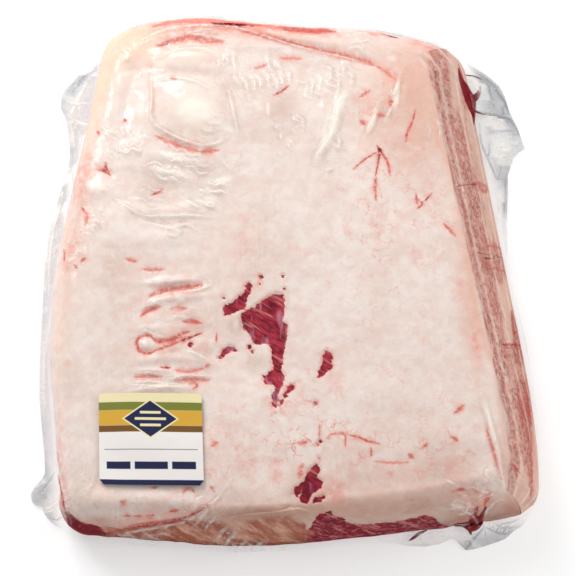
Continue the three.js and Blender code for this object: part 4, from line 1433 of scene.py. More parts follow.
BONE_MARKS = [  # points, half width in pixels, redness
    ([(471, 184), (478, 183), (485, 186), (488, 190.5)], 1.7, 0.5),
    ([(480, 188), (484, 192), (489, 191)], 1.3, 0.5),
    ([(484.6, 247), (492, 246), (501, 249)], 1.2, 0.4),
    ([(486, 269.6), (495, 268), (504, 272)], 1.2, 0.4),
    ([(501, 344.4), (511, 344.6), (522, 345.4)], 1.3, 0.75),
    ([(504, 348.4), (512, 348), (521, 349)], 0.9, 0.5),
    ([(511.4, 312), (513.6, 328), (516.6, 342)], 1.2, 0.7),
    ([(508, 463), (514, 466), (520, 473)], 1.3, 0.45),
    ([(496, 469), (503, 474), (511, 477)], 1.0, 0.4),
    ([(528, 430), (531.6, 452), (532, 480), (530, 500)], 1.2, 0.45),
    ([(524, 380), (528, 402), (531, 424)], 1.4, 0.6),
    ([(517, 390), (521, 410), (524, 428)], 1.3, 0.55),
    ([(458, 62), (462, 76), (466, 92)], 1.0, 0.45),
    ([(484, 258), (490, 258.6)], 1.3, 1.1),
]
bone_mark_curves = as_curves(BONE_MARKS)


def joint_place(joint, side, k):
    """v of a joint's face at k: half its gap to the given side, leaning back with depth."""
    ends = joint in (0, 1)
    return joint if ends else joint + side * JOINT_HALF_GAP - BONE_LEAN * k


def slab_faces(rows, columns):
    """Quads of two grids of points, one outside and one inside, joined all round their border."""
    outer = np.arange(rows * columns).reshape(rows, columns)
    inner = outer + rows * columns
    band = band_quads(grid_rim(outer), grid_rim(inner))
    return np.vstack([grid_quads(outer), grid_quads(inner)[:, ::-1], band])


for number, (start, end) in enumerate(zip(BONE_JOINTS, BONE_JOINTS[1:]), 1):
    across = max(8, round((end - start) * BONE_ROW_LENGTH / BONE_CELL))
    k = np.linspace(0, 1, BONE_DOWN + 1)[:, None]
    share = np.linspace(0, 1, across + 1)[None, :]
    v = lerp(joint_place(start, 1, k), joint_place(end, -1, k), share)
    k_grid = np.broadcast_to(k, v.shape)
    outer = lower_wall(1 + v, k_grid)
    inner = cut_face(v, k_grid) + BONE_GAP * BONE_OUTWARD
    points = np.vstack([outer.reshape(-1, 3), inner.reshape(-1, 3)])
    points[:, 2] = np.maximum(points[:, 2], REST_HEIGHT)
    flat_v, flat_k = np.tile(v.ravel(), 2), np.tile(k_grid.ravel(), 2)
    bone_x, bone_y = photo_place(points)
    sponge = bells(bone_x, bone_y, SPONGE)
    near, square, taper, (width, red) = nearest_stroke(bone_x, bone_y, bone_mark_curves)
    waver = LINE_WAVER * noise(flat_v * 26, flat_k * 2, 21)
    hard_line = sum(
        strength * np.exp(-(((flat_k + waver - place_down) / half) ** 2))
        for place_down, half, strength in BONE_LINES
    )
    lip = LIP_WAVER * noise(flat_v * 30, flat_k * 3, 24)
    pits = PIT_DEPTH * noise(flat_v * 150, flat_k * 16, 22) * np.clip(sponge, 0, 1)
    quads = slab_faces(BONE_DOWN + 1, across + 1)
    is_outer = np.arange(len(points)) < outer.size // 3
    border = smooth(flat_k, 0, 0.08) * (1 - smooth(flat_k, 0.9, 1))
    points += point_normals(points, quads) * (np.where(is_outer, pits, 0) * border)[:, None]
    bone = make_piece(
        f"bone_piece_{number}",
        points,
        quads,
        np.zeros((0, 3), int),
        {
            "spongy": sponge,
            "redness": bells(bone_x, bone_y, REDNESS),
            "hard_line": hard_line,
            "line_near": near,
            "line_square": square,
            "line_width": width * taper,
            "line_red": red,
            "juice": juice_depth(bone_x, bone_y),
            "fat_lip": 1 - smooth(flat_k + lip, 0.0, 0.05),
        },
    )
    bone.data.materials.append(bone_finish)
    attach(bone, "root")
    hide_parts(f"bone_{number}")

# %% [markdown]
# ## The bag
# The bag is thin clear film, shrunk tight on the meat by the vacuum. Where it had slack it lies
# in sharp ridges, and past the foot of the slab it stands out in loose flaps, two films thick.
# Cloth simulation could make such wrinkles, but not where the photograph shows them. So the bag
# is the slab's own form, about half a millimetre further out, with every ridge raised along a
# stroke: its height is a bell across the stroke and tapers to the ends. Groups of like strokes are
# made by a loop.

# %% Ridges of the film, in pixels of the photograph
# Points, half width, height in mm. A raised ridge gets a painted highlight on its crest and painted
# shade beside it. In the flaps they are creases, and the height is their tone: dark below 0, and a
# painted highlight above 0.
RIDGE_LINES = [
    ([(151.8, 81.4), (152.5, 99.3), (151.6, 117), (157, 127.3),
      (169.7, 135), (187.6, 142.7), (202.9, 146.5), (218.2, 143.3),
      (227, 137.6)], 1.3, 0.9),
    ([(224.5, 81.4), (231, 99.3), (234.7, 118.4), (238.6, 135)], 1.2, 0.6),
    ([(157, 82), (176, 80), (196, 84), (212, 92)], 1.4, 0.5),
    ([(160, 58), (178, 52), (200, 50), (217, 56)], 1.6, 0.6),
    ([(143, 40), (166, 30), (196, 26), (230, 27), (262, 36)], 1.2, 0.8),
    ([(191, 34), (206, 36.4), (222, 40)], 1.3, 0.9),
    ([(248, 31), (276, 40.6), (300, 48), (332, 55), (362, 62)], 1.3, 0.8),
    ([(392, 97), (396.5, 89), (398.4, 81)], 2.0, 1.1),
    ([(387.6, 117), (391, 110), (394.5, 104)], 1.6, 1.0),
    ([(368, 131), (371, 124), (375, 118), (376.6, 111)], 2.0, 1.1),
    ([(318, 158), (324, 147), (331, 138), (336, 122), (340, 104)], 3.4, 1.5),
    ([(334, 145), (340, 149), (338, 136)], 1.4, 0.7),
    ([(326, 171), (333, 168)], 1.6, 0.7),
    ([(147, 283.4), (160, 284.4), (174, 282.6)], 1.5, 0.9),
    ([(184, 292), (198, 290), (212, 285)], 1.6, 0.9),
    ([(142, 308), (151, 305.6), (161, 304)], 1.3, 0.9),
    ([(137, 334.5), (146, 331.4), (156, 335.6), (166, 337)], 1.2, 0.7),
    ([(188, 352), (196, 354), (206, 360)], 1.7, 0.8),
    ([(135, 374), (150, 373.4), (163, 375)], 1.2, 0.7),
    ([(168, 380), (186, 377), (206, 376.6)], 1.3, 0.9),
    ([(134, 383), (150, 381.4), (166, 384)], 1.2, 0.7),
    ([(133, 391), (152, 388.6), (182, 387.6)], 1.4, 0.8),
    ([(121, 203), (140, 215.5), (160, 217.4), (184, 216.6), (207, 217)], 1.3, 1.0),
    ([(142, 222), (158, 226), (172, 229), (186, 225), (197, 230)], 1.3, 0.8),
    ([(167, 233), (174, 237), (180, 233), (172, 231)], 1.0, 0.6),
    ([(186, 201), (194, 206), (200, 209)], 1.8, 1.0),
    ([(202, 203), (208, 207), (216, 208)], 1.4, 0.9),
    ([(483, 402), (490, 425), (497, 450), (503, 488)], 2.2, 1.1),
    ([(460, 487), (476, 488), (492, 494), (503, 499)], 1.3, 0.7),
    ([(285.5, 240), (286.2, 300), (286.6, 380)], 0.9, 0.25),
    ([(447, 508), (459, 507), (470, 513), (475, 519)], 1.4, 1.0),
    ([(450, 500), (462, 500), (472, 506)], 1.6, 0.9),
    ([(484, 516), (487, 509), (494, 502), (500, 495)], 1.3, 0.8),
    ([(478, 483), (484, 478), (489, 474)], 1.8, 0.9),
    ([(57.6, 460), (62, 482), (67, 508), (70, 518)], 1.1, 0.8),
    ([(110, 536), (140, 530), (168, 525), (190, 519), (214, 502), (226, 487)], 1.2, 0.9),
    ([(117.5, 500), (118, 515), (117, 530)], 0.9, 0.4),
    ([(85, 450), (84, 475), (78, 500), (70, 517)], 0.9, 0.4),
    ([(96, 470), (88, 490), (72, 518)], 0.9, 0.4),
    # creases of the flaps
    ([(484, 112.8), (498.8, 116.5), (509, 119), (515, 127)], 0.9, -1.0),
    ([(480, 132), (481, 142), (486, 154.7), (495, 175)], 0.9, -1.0),
    ([(481, 77), (490, 83), (496.3, 91), (505.2, 102.5), (507.8, 111.4)], 1.0, -0.9),
    ([(476, 73), (488, 80), (499, 90)], 0.7, -0.5),
    ([(506, 175), (504.6, 196), (504, 215)], 0.7, -0.5),
    ([(495, 143), (500, 149), (506, 154)], 1.0, 0.9),
    ([(505, 141), (500, 148), (497, 158)], 0.9, 0.9),
    ([(509, 150), (500, 149)], 0.9, 0.8),
    ([(486, 115.6), (498, 119), (505, 121)], 1.0, 0.9),
    ([(472, 78), (476, 84), (480, 92)], 1.6, 0.8),
    ([(500, 186), (501, 205), (499, 230)], 1.2, 0.5),
    ([(483.7, 528), (475.5, 537), (467.3, 547.3)], 0.8, -1.0),
    ([(484.7, 527), (498, 533), (508, 534)], 0.7, -0.7),
    ([(494, 523), (502, 528), (514, 527)], 0.7, -0.6),
    ([(520, 518), (512, 522), (500, 524)], 0.6, -0.5),
    ([(400, 536), (424, 534), (448, 531.4)], 2.2, 0.6),
    ([(452, 534), (462, 533), (472, 542)], 1.8, 0.7),
    ([(100, 66), (88, 72), (74, 90)], 0.9, -0.4),
    ([(66, 112), (76, 122), (90, 126)], 1.2, 0.6),
    ([(92, 76), (82, 92), (72, 118), (76, 150)], 1.6, 0.6),
    ([(64, 100), (74, 104), (88, 104)], 1.2, 0.5),
    ([(62, 200), (52, 240), (48, 290)], 1.0, 0.7),
    ([(50, 320), (44, 360), (45, 420)], 1.0, 0.5),
    ([(56, 470), (48, 484), (38, 496)], 0.9, -0.4),
    ([(60, 500), (50, 508), (44, 508)], 1.0, 0.6),
    ([(64, 516), (56, 520), (50, 516)], 0.8, -0.4),
]
RIDGE_GROUPS = [  # x, y, length, angle, strokes, spacing, wiggle, half width, height
    (113, 132, 17, 74, 6, 3.6, 0.6, 0.9, 0.6),
    (121, 152, 14, 66, 6, 4.0, 0.6, 0.9, 0.55),
    (124, 52, 16, 150, 5, 4.6, 0.9, 1.0, 0.5),
    (226, 61, 15, 82, 4, 5.0, 0.5, 1.3, 0.8),
    (259, 79, 24, 69, 7, 7.4, 1.0, 1.5, 1.0),
    (283, 82, 16, 62, 3, 6.5, 1.0, 1.6, 0.9),
    (316, 86, 42, 62, 4, 8.4, 3.2, 1.4, 0.9),
    (341, 77, 26, 60, 3, 7.0, 2.4, 1.4, 0.8),
    (216, 126, 22, 28, 6, 3.4, 2.2, 0.9, 0.55),
    (180, 160, 50, 22, 4, 6.4, 2.0, 1.3, 0.9),
    (170, 174, 40, 14, 3, 6.0, 1.6, 1.5, 0.9),
    (134, 146, 30, 170, 3, 5.0, 2.0, 1.2, 0.7),
    (222, 186, 22, 4, 3, 5.4, 0.8, 1.3, 0.8),
    (206, 199, 20, 12, 3, 5.0, 1.0, 1.3, 0.8),
    (150, 196, 26, 20, 4, 4.8, 1.4, 1.0, 0.6),
    (235, 166, 16, 62, 5, 4.4, 0.6, 1.0, 0.55),
    (292, 128, 20, 64, 5, 6.6, 1.0, 1.2, 0.6),
    (287, 148, 12, 52, 4, 5.0, 1.0, 1.1, 0.5),
    (362, 46, 28, 14, 3, 5.6, 1.8, 1.2, 0.6),
    (88, 232, 13, 62, 9, 4.4, 0.8, 0.9, 0.6),
    (76, 255, 14, 70, 6, 4.2, 0.8, 0.9, 0.5),
    (96, 214, 12, 50, 6, 4.2, 0.8, 0.9, 0.5),
    (82, 180, 14, 80, 5, 4.0, 0.6, 0.9, 0.5),
    (90, 150, 16, 76, 4, 3.6, 0.6, 0.8, 0.4),
    (185, 310, 40, 176, 3, 9.0, 1.6, 1.3, 0.5),
    (238, 265, 120, 90, 6, 9.5, 0.3, 1.0, 0.22),
    (232, 535, 22, 128, 9, 12.5, 1.0, 1.6, 0.9),
    (80, 488, 34, 108, 5, 4.6, 0.6, 0.8, 0.4),
    (455, 494, 22, 22, 4, 5.6, 0.8, 1.3, 0.7),
    (494, 476, 14, 130, 4, 5.0, 0.8, 1.2, 0.6),
    (150, 540, 60, 172, 3, 4.0, 1.0, 1.1, 0.5),
    (340, 200, 30, 55, 3, 13.0, 1.0, 1.2, 0.22),
    (430, 120, 40, 84, 3, 10.0, 1.0, 1.1, 0.3),
]


def group_strokes(x, y, length, angle, strokes, spacing, wiggle, half_width, height, seed):
    """Strokes side by side across the group's direction, each a jittered sine wave."""
    draw = np.random.default_rng(seed)
    along = np.array([np.cos(np.radians(angle)), np.sin(np.radians(angle))])
    across = np.array([-along[1], along[0]])
    wavelength, phase = draw.uniform(11, 19), draw.uniform(0, 6)
    made = []
    for i in range(strokes):
        steps_across = i - (strokes - 1) / 2 + draw.uniform(-0.25, 0.25)
        middle = np.array([x, y]) + across * spacing * steps_across
        reach = length * draw.uniform(0.5, 1.0) / 2
        slide = length * draw.uniform(-0.25, 0.25)
        t = np.linspace(slide - reach, slide + reach, 13)
        wave = wiggle * np.sin(2 * np.pi * t / wavelength + phase + draw.uniform(-0.5, 0.5))
        line = middle + t[:, None] * along + wave[:, None] * across
        made.append((line, half_width * draw.uniform(0.9, 1.6), height * draw.uniform(0.5, 1.2)))
    return made


LEAST_RIDGE = 1.5  # pixels, the narrowest ridge that the mesh can hold
RIDGE_SCALE = 1.3
ridge_strokes = as_curves(RIDGE_LINES)
for seed, group in enumerate(RIDGE_GROUPS):
    ridge_strokes += group_strokes(*group, seed=100 + seed)


def ridge_marks(x, y):
    """The nearest ridge: its height here, distance square to it, half width and crest height."""
    near, square, taper, (width, height) = nearest_stroke(x, y, ridge_strokes, 9)
    crest = RIDGE_SCALE * height * taper
    raised = crest * np.exp(-((near / np.maximum(width, LEAST_RIDGE)) ** 2))
    return raised, square, width, crest


print(len(ridge_strokes), "ridges")

# %% [markdown]
# The loose flaps are drawn by their outer edge. For each point of the slab's rim, a ray goes out
# square to the rim, and its length to that edge is how far the flap reaches there.

# %% Edge of the loose film, clockwise, in pixels of the photograph
FLAP_EDGE = [
    (105, 60), (112, 41), (137, 24.6), (176, 17.2), (215, 16), (262, 22.3), (300, 25.8),
    (332, 27.2), (376, 29.5), (400, 34.2), (435, 42.8), (452, 52), (465, 61.6), (474, 67.6),
    (481, 71.6), (491, 78.6), (499, 86.6), (504, 96.6), (508, 108), (511, 117), (517, 128),
    (520, 136), (522, 143), (524.4, 149), (519, 152), (513, 158), (510, 167), (507.4, 175),
    (507, 200), (506, 225), (507, 255), (509, 275), (513, 290), (517, 305), (521, 322), (526, 342),
    (529, 362), (533, 388), (536, 410), (538, 430), (539.4, 450), (540.4, 475), (539.6, 492),
    (536, 502), (531, 515), (522, 525), (514, 530), (505, 538), (490, 544), (475, 548),
    (466, 549.4), (461, 545), (455, 539), (450, 538), (445, 541), (438, 543.6), (425, 545.6),
    (407, 545), (395, 542.6), (380, 542), (360, 541.6), (310, 545), (283, 548.4), (250, 548),
    (190, 547.6), (130, 542), (88, 539.6), (74, 536.4), (62, 528.6), (54, 524), (48, 518),
    (44, 512), (43, 506.4), (38, 507), (32.4, 502), (31.4, 494), (35, 486.4), (41, 481),
    (45.6, 473), (45, 455), (42.6, 430), (40, 400), (40, 370), (41, 345), (43, 310), (44.5, 280),
    (46, 255), (49, 237), (55, 215), (60, 195), (65, 180), (69.4, 165), (70.6, 155), (69.4, 140),
    (67.6, 125), (64.4, 114), (61, 108), (62, 95), (67, 88), (75, 80), (80, 74.4), (85, 75),
    (93, 70), (98, 63),
]
FLAP_LEVEL = 1.6
LEAST_REACH = 1.4
MOST_REACH = 40.0


def flap_reach(s):
    """Length of the ray that goes out from the rim at s to where it meets the flap's edge."""
    edge = place_at_height(FLAP_EDGE, FLAP_LEVEL)[:, :2]
    spans = np.roll(edge, -1, 0) - edge
    start = wall(s, WIDEST_SHARE)[:, None, :2]
    ray = rim_outward(s)[:, None, :2]
    offset = edge[None] - start
    cross = ray[..., 0] * spans[:, 1] - ray[..., 1] * spans[:, 0]
    cross = np.where(np.abs(cross) < TINY, TINY, cross)
    out = (offset[..., 0] * spans[:, 1] - offset[..., 1] * spans[:, 0]) / cross
    along = (offset[..., 0] * ray[..., 1] - offset[..., 1] * ray[..., 0]) / cross
    hit = (along >= 0) & (along <= 1) & (out > 0)
    reach = np.where(hit, out, 2 * MOST_REACH).min(1)
    return np.where(reach < MOST_REACH, np.maximum(reach, LEAST_REACH), LEAST_REACH)


# %% Grid of the bag, finer at the back
BAG_COLUMNS = 254
BAG_ROWS = 290
BACK_SHARE = 0.62
BACK_LENGTH = 0.47
FILM_LIFT = 0.45
BAG_WALL = [0.05, 0.11, 0.17, 0.24, 0.31, 0.39, 0.47, 0.55, 0.62, 0.68]
BAG_FLAP = [0.0, 0.12, 0.3, 0.5, 0.7, 0.88, 1.0]
BAG_UNDER = [1.0, 0.6, 0.2]
BAG_FLOOR = [0.2, 0.6]
FLAP_STATIONS = [0, 0.5, 1]
FLAP_UPPER = [6.0, 3.6, 1.7]
FLAP_LOWER = [3.0, 1.4, 0.5]
FLAP_GAP = 0.4
BAG_REST = 0.25

bag_u = np.linspace(0, 1, BAG_COLUMNS + 1)
row_share = np.linspace(0, 1, BAG_ROWS + 1)
bag_v = np.interp(row_share, [0, BACK_SHARE, 1], [0, BACK_LENGTH, 1])
bag_s = rim_places(bag_u, bag_v)
bag_reach = flap_reach(bag_s)
bag_rim = wall(bag_s, WIDEST_SHARE)
bag_outward = rim_outward(bag_s)
print("longest flap in mm", round(float(bag_reach.max()), 1))


def flap_ring(share, heights):
    """Ring of the flap: the rim moved out by a share of the reach, at the height for that share."""
    loose = 0.9 * share * np.clip(bag_reach / 12, 0, 1)
    broad = noise(bag_s * 26, share * 2 + 0 * bag_s, 31)
    fine = noise(bag_s * 70, share * 3 + 0 * bag_s, 32)
    ring = bag_rim + bag_outward * (FLAP_GAP + share * bag_reach)[:, None]
    ring[:, 2] = np.interp(share, FLAP_STATIONS, heights) + loose * (broad + 0.5 * fine)
    return ring


bag_rings = [wall(bag_s, w + 0 * bag_s) for w in BAG_WALL]
bag_rings += [flap_ring(share, FLAP_UPPER) for share in BAG_FLAP]
bag_rings += [flap_ring(share, FLAP_LOWER) for share in BAG_UNDER]
bag_rings += [wall(bag_s, 1 + 0 * bag_s)]
bag_rings += drawn_in(foot, bag_s, BAG_FLOOR)
bag_pole = foot(np.array([0.5]), np.array([0.5]))[0]
bag_points = shell_points(bag_u, bag_v, top, bag_rings, bag_pole)
bag_quads, bag_fan = shell_faces(len(bag_v), len(bag_u), len(bag_rings))
bag_sheet_size = len(bag_v) * len(bag_u)
bag_ring_of = (np.arange(len(bag_points)) - bag_sheet_size) // len(bag_s)

# %% [markdown]
# The film lies on the lumps and bridges the creases, so it follows the lumps in full and the
# creases only in part. Where it is loose it looks milky, because there it is doubled and it
# stands off the meat: the attribute `loose` tells the shader so.

# %% Lay the film over the meat
CREASE_FOLLOWED = 0.55
GAP_FOLLOWED = 0.6
ROOT_RINGS = 6  # over which the relief of the meat dies away above the flap

bag_x, bag_y = photo_place(bag_points)
ridge, ridge_square, ridge_width, ridge_crest = ridge_marks(bag_x, bag_y)
clings = bag_ring_of < len(BAG_WALL)
relief_share = np.clip((len(BAG_WALL) - bag_ring_of) / ROOT_RINGS, 0, 1)
_, bag_crease = meat_marks(bag_points)
bag_gap = gap_sink(lean_gap(bag_x, bag_y))
tremble = 0.10 * noise(bag_x / 5, bag_y / 5, 41) + 0.05 * noise(bag_x / 2.6, bag_y / 2.6, 42)
bag_lift = lumps(bag_points) - CREASE_FOLLOWED * bag_crease - GAP_FOLLOWED * bag_gap
bag_lift = FILM_LIFT + (bag_lift + np.maximum(ridge, 0) + tremble) * relief_share
bag_points += point_normals(bag_points, bag_quads) * np.where(clings, bag_lift, 0)[:, None]
bag_points[:, 2] = np.maximum(bag_points[:, 2], BAG_REST)

flap_share = np.array([0] * len(BAG_WALL) + BAG_FLAP + BAG_UNDER + [0] * (1 + len(BAG_FLOOR)))
ring_share = np.where(bag_ring_of >= 0, flap_share[np.clip(bag_ring_of, 0, len(flap_share) - 1)], 0)
reach_of = np.zeros(len(bag_points))
reach_of[bag_sheet_size:-1] = np.tile(bag_reach, len(bag_rings))
bag_loose = smooth(ring_share * reach_of, 2, 11) * (bag_ring_of >= len(BAG_WALL))
seen_film = bag_ring_of < len(BAG_WALL) + len(BAG_FLAP)
bag = make_piece(
    "bag",
    bag_points,
    bag_quads,
    bag_fan,
    {
        "loose": bag_loose,
        "faces_up": smooth(point_normals(bag_points, bag_quads)[:, 2], 0.2, 0.7),
        "ridge_square": ridge_square,
        "ridge_width": ridge_width,
        "ridge_crest": np.where(seen_film, ridge_crest, 0),
    },
)

# %% [markdown]
# ## Finish of the film
# Film is mostly not there. What shows of it is its reflection, which grows at a slant (Fresnel),
# and a milky haze where it is loose. So the shader mixes twice: a transparent shader with a glossy
# one by the reflectance, and the result with a plain one by the haze. The reflectance is held
# small, and smaller still on the sides, which would mirror the bright floor. The haze also paints
# light and shade on the ridges, a painted highlight on the crest with a painted shade line beside
# it, and draws the creases of the flaps.

# %% The film's material
FILM_IOR = 1.5
MOST_GLOSS = 0.03
LEAST_FACING = 0.25  # share of the gloss left on the sides, which would mirror the bright floor
FLAP_HAZE = 0.42
# painted highlight on ridge crests, and painted shade beside them
CREST_HIGHLIGHT_HAZE = 0.5
VALLEY_SHADE_HAZE = 0.12
CREASE_HAZE = 0.5
# colours of the painted highlight and of the painted shade beside the ridges
HAZE_HIGHLIGHT = (0.93, 0.88, 0.82, 1.0)
HAZE_FLAP = (0.56, 0.57, 0.58, 1.0)
HAZE_VALLEY_SHADE = (0.40, 0.28, 0.23, 1.0)
HAZE_CREASE = (0.26, 0.27, 0.29, 1.0)
GLOSS_TINT = (0.95, 0.97, 0.98, 1.0)
CLEAR_TINT = (0.99, 0.99, 0.99, 1.0)
film_finish, tree, haze_shader = new_material("film_finish", {"Roughness": 0.3})
place = tree.position()
fresnel = tree.node("ShaderNodeFresnel", {}, {"IOR": FILM_IOR}).math("MINIMUM", MOST_GLOSS)
fresnel = fresnel * (LEAST_FACING + tree.attribute("faces_up") * (1 - LEAST_FACING))
crumple = tree.cloud(place, 7.0, 3.0, 0.6, 0.8)
fine = tree.cloud(place, 1.5, 2.0)
loose = tree.attribute("loose")
height = tree.attribute("ridge_crest")
waver = (fine - 0.5) * 1.2
ridge_half = tree.attribute("ridge_width") * 0.7 + 0.5
across_ridge = (tree.attribute("ridge_square") + waver) / ridge_half
bell = (across_ridge * across_ridge * -1.0).math("EXPONENT")
patchy = tree.cloud(place, 5.0, 2.0).step(0.3, 0.6)
# painted shade in a line beside each ridge
beside = abs(across_ridge) - 2.1
valley_shade_bell = (beside * beside * -2.2).math("EXPONENT")
raised = height.step(0.0, 0.9)
# painted highlight on the crest, and painted shade beside it
painted_crest_light = raised * bell * (0.25 + patchy * 0.75) * CREST_HIGHLIGHT_HAZE
painted_valley_shade = raised * valley_shade_bell * patchy * VALLEY_SHADE_HAZE
crease_haze = (height * -1.0).step(0.0, 0.8) * bell * CREASE_HAZE
relief = crumple * (0.12 + loose * 0.4) + fine * 0.05 + height * bell * 0.6
film_bump = relief.bump(0.8, 0.001)
feed(film_bump, haze_shader, "Normal")
# painted highlight on the crest, painted shade beside it
haze_tone = abs(across_ridge).step(1.0, 1.5).blend(HAZE_HIGHLIGHT, HAZE_VALLEY_SHADE)
haze_tone = loose.step(0.1, 0.4).blend(haze_tone, height.step(0.1, 0.6).blend(HAZE_FLAP, HAZE_HIGHLIGHT))
haze_tone = height.step(-0.3, 0.0).blend(HAZE_CREASE, haze_tone)
feed(haze_tone, haze_shader, "Base Color")
gloss_inputs = {"Color": GLOSS_TINT, "Roughness": 0.2, "Normal": film_bump}
gloss = tree.node("ShaderNodeBsdfAnisotropic", {}, gloss_inputs)
clear = tree.node("ShaderNodeBsdfTransparent", {}, {"Color": CLEAR_TINT})
shiny = tree.node("ShaderNodeMixShader", {}, {0: fresnel, 1: clear, 2: gloss})
flap_haze = loose * (0.7 + crumple.step(0.35, 0.75) * 0.3) * FLAP_HAZE
haze = (flap_haze + painted_crest_light + painted_valley_shade * (1 - loose) + crease_haze).limited()
haze_wire = Wire(tree.tree, haze_shader.outputs["BSDF"])
film = tree.node("ShaderNodeMixShader", {}, {0: haze, 1: shiny, 2: haze_wire})
tree.tree.links.new(film.socket, tree.tree.nodes["Material Output"].inputs["Surface"])
bag.data.materials.append(film_finish)
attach(bag, "root")
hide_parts("loose_film")

# %% [markdown]
# ## The label
# A stiff coated label is stuck on the film near the front left corner. It bends with the top, so
# each point of it asks for the height of the slab below it. Its print is made of plain fields of
# colour in its own flat coordinates: stripes and a diamond at the top, bars lower down and a dark
# foot.


# %% Make the label
NEWTON_STEPS = 8


def top_under(x, y):
    """Place (u, v) of the top's point over (x, y), closed in on by Newton steps."""
    u, v = 0.5 + 0 * x, 0.5 + 0 * x
    step = 0.001
    for _ in range(NEWTON_STEPS):
        here = shoulders(u, v)
        right = (shoulders(u + step, v) - here) / step
        front = (shoulders(u, v + step) - here) / step
        dx, dy = x - here[..., 0], y - here[..., 1]
        area = right[..., 0] * front[..., 1] - right[..., 1] * front[..., 0]
        u = u + (dx * front[..., 1] - dy * front[..., 0]) / area
        v = v + (dy * right[..., 0] - dx * right[..., 1]) / area
    return u, v


LABEL_CELLS = 72
LABEL_THICKNESS = 0.3
LABEL_LIFT = 2.1
LABEL_CORNER = 2.4
LABEL_LEAN = 1.2
LABEL_TURN = 0.9
LABEL_STRETCH = 1.03
LUMPS_FOLLOWED = 0.35
label_low, label_high = (np.array(corner) / METRE_PER_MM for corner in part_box("label"))
label_middle, label_half = (label_low + label_high)[:2] / 2, (label_high - label_low)[:2] / 2
label_steps = np.linspace(-1, 1, LABEL_CELLS + 1)
across, along = np.meshgrid(label_steps, label_steps[::-1])
round_by = np.where(along < 0, LABEL_CORNER, LABEL_CORNER / 4)
near_end = smooth(np.abs(along) * label_half[1], label_half[1] - 1.5 * round_by, label_half[1])
in_x = round_by * near_end * np.abs(across) ** 12
label_x = label_middle[0] + across * (label_half[0] - in_x) - LABEL_LEAN * along
label_y = label_middle[1] + along * label_half[1] * LABEL_STRETCH - LABEL_TURN * (across + 1)
label_sheet = top(*top_under(label_x, label_y))
label_lumps = lumps(label_sheet.reshape(-1, 3)).reshape(label_x.shape)
label_sheet[..., 2] += LABEL_LIFT + LUMPS_FOLLOWED * label_lumps
label_under = label_sheet - [0, 0, LABEL_THICKNESS]
label_points = np.vstack([label_sheet.reshape(-1, 3), label_under.reshape(-1, 3)])
label = make_piece(
    "label_sheet",
    label_points,
    slab_faces(*label_x.shape),
    np.zeros((0, 3), int),
    {
        "print_x": np.tile((across.ravel() + 1) / 2, 2),
        "print_y": np.tile((1 - along.ravel()) / 2, 2),
    },
)

# %% The label's print
PAPER = colour("F1ECE8")
INK_NAVY = colour("242A4E")
INK_GOLD = colour("D9A93A")
INK_OLIVE = colour("7C8233")
INK_BROWN = colour("7A5528")
INK_CREAM = colour("F0E3B4")
INK_GREY = colour("8C8C90")
label_finish, tree, label_shader = new_material(
    "label_finish", {"Roughness": 0.38, "Specular IOR Level": 0.5}
)
px, py = tree.attribute("print_x"), tree.attribute("print_y")
EDGE = 0.004
BAR_HALF = 0.014
STRIPES = [  # upper and lower edge as shares of the label's height, and ink
    (-1, 0.1, INK_CREAM),
    (0.1, 0.19, INK_OLIVE),
    (0.19, 0.36, INK_GOLD),
    (0.36, 0.43, INK_BROWN),
    (0.945, 2, INK_NAVY),
]


def between(wire, low, high):
    """1 where a wire lies between low and high, with crisp edges."""
    return wire.step(low - EDGE, low + EDGE) * (1 - wire.step(high - EDGE, high + EDGE))


def field(left, right, upper, lower):
    """1 inside an upright rectangle of the print."""
    return between(px, left, right) * between(py, upper, lower)


ink = PAPER
for upper, lower, tone in STRIPES:
    ink = between(py, upper, lower).blend(ink, tone)
diamond = abs(px - 0.5) * 1.5 + abs(py - 0.285) * 1.9
ink = (1 - diamond.step(0.41, 0.42)).blend(ink, INK_CREAM)
ink = (1 - diamond.step(0.375, 0.385)).blend(ink, INK_NAVY)
for level, half in ((0.215, 0.1), (0.285, 0.15), (0.355, 0.1)):
    bar = field(0.5 - half, 0.5 + half, level - BAR_HALF, level + BAR_HALF)
    ink = bar.blend(ink, INK_CREAM)
ink = field(0.05, 0.95, 0.615, 0.625).blend(ink, INK_GREY)
for left, right in ((0.07, 0.3), (0.34, 0.66), (0.7, 0.93)):
    ink = field(left, right, 0.75, 0.83).blend(ink, INK_NAVY)
feed(ink, label_shader, "Base Color")
label.data.materials.append(label_finish)
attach(label, "root")
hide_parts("label")

# %% [markdown]
# ## Juice in the folds
# Dark juice has gathered inside the bag at both ends of the row of bones, in the fold between the
# foot of the slab and the flap. Each trail of it is a thin lens drawn along a line: full in the
# middle, and run out to nothing at its edges. It lies halfway between the flap's two films. The
# meat beside a trail is stained by it too, through the attribute `juice`.

# %% Make the juice
TRAIL_SIDES = 12
TRAIL_LEVEL = 3.2
TRAIL_FULLNESS = 0.55
LEAST_TRAIL = 0.2  # pixels of half width
JUICE_THIN = colour("A03034")
rim_line = np.vstack([bag_rim[:, :2], bag_rim[:1, :2]])


def between_films(x, y):
    """Middle and half gap of the flap's two films at (x, y), by the share of the way out."""
    distance, _, along_share = near_line(x, y, rim_line)
    reach = np.interp(along_share * len(bag_reach), np.arange(len(bag_reach)), bag_reach)
    share = np.clip(distance / reach, 0, 1)
    upper = np.interp(share, FLAP_STATIONS, FLAP_UPPER)
    lower = np.interp(share, FLAP_STATIONS, FLAP_LOWER)
    return (upper + lower) / 2, (upper - lower) / 2


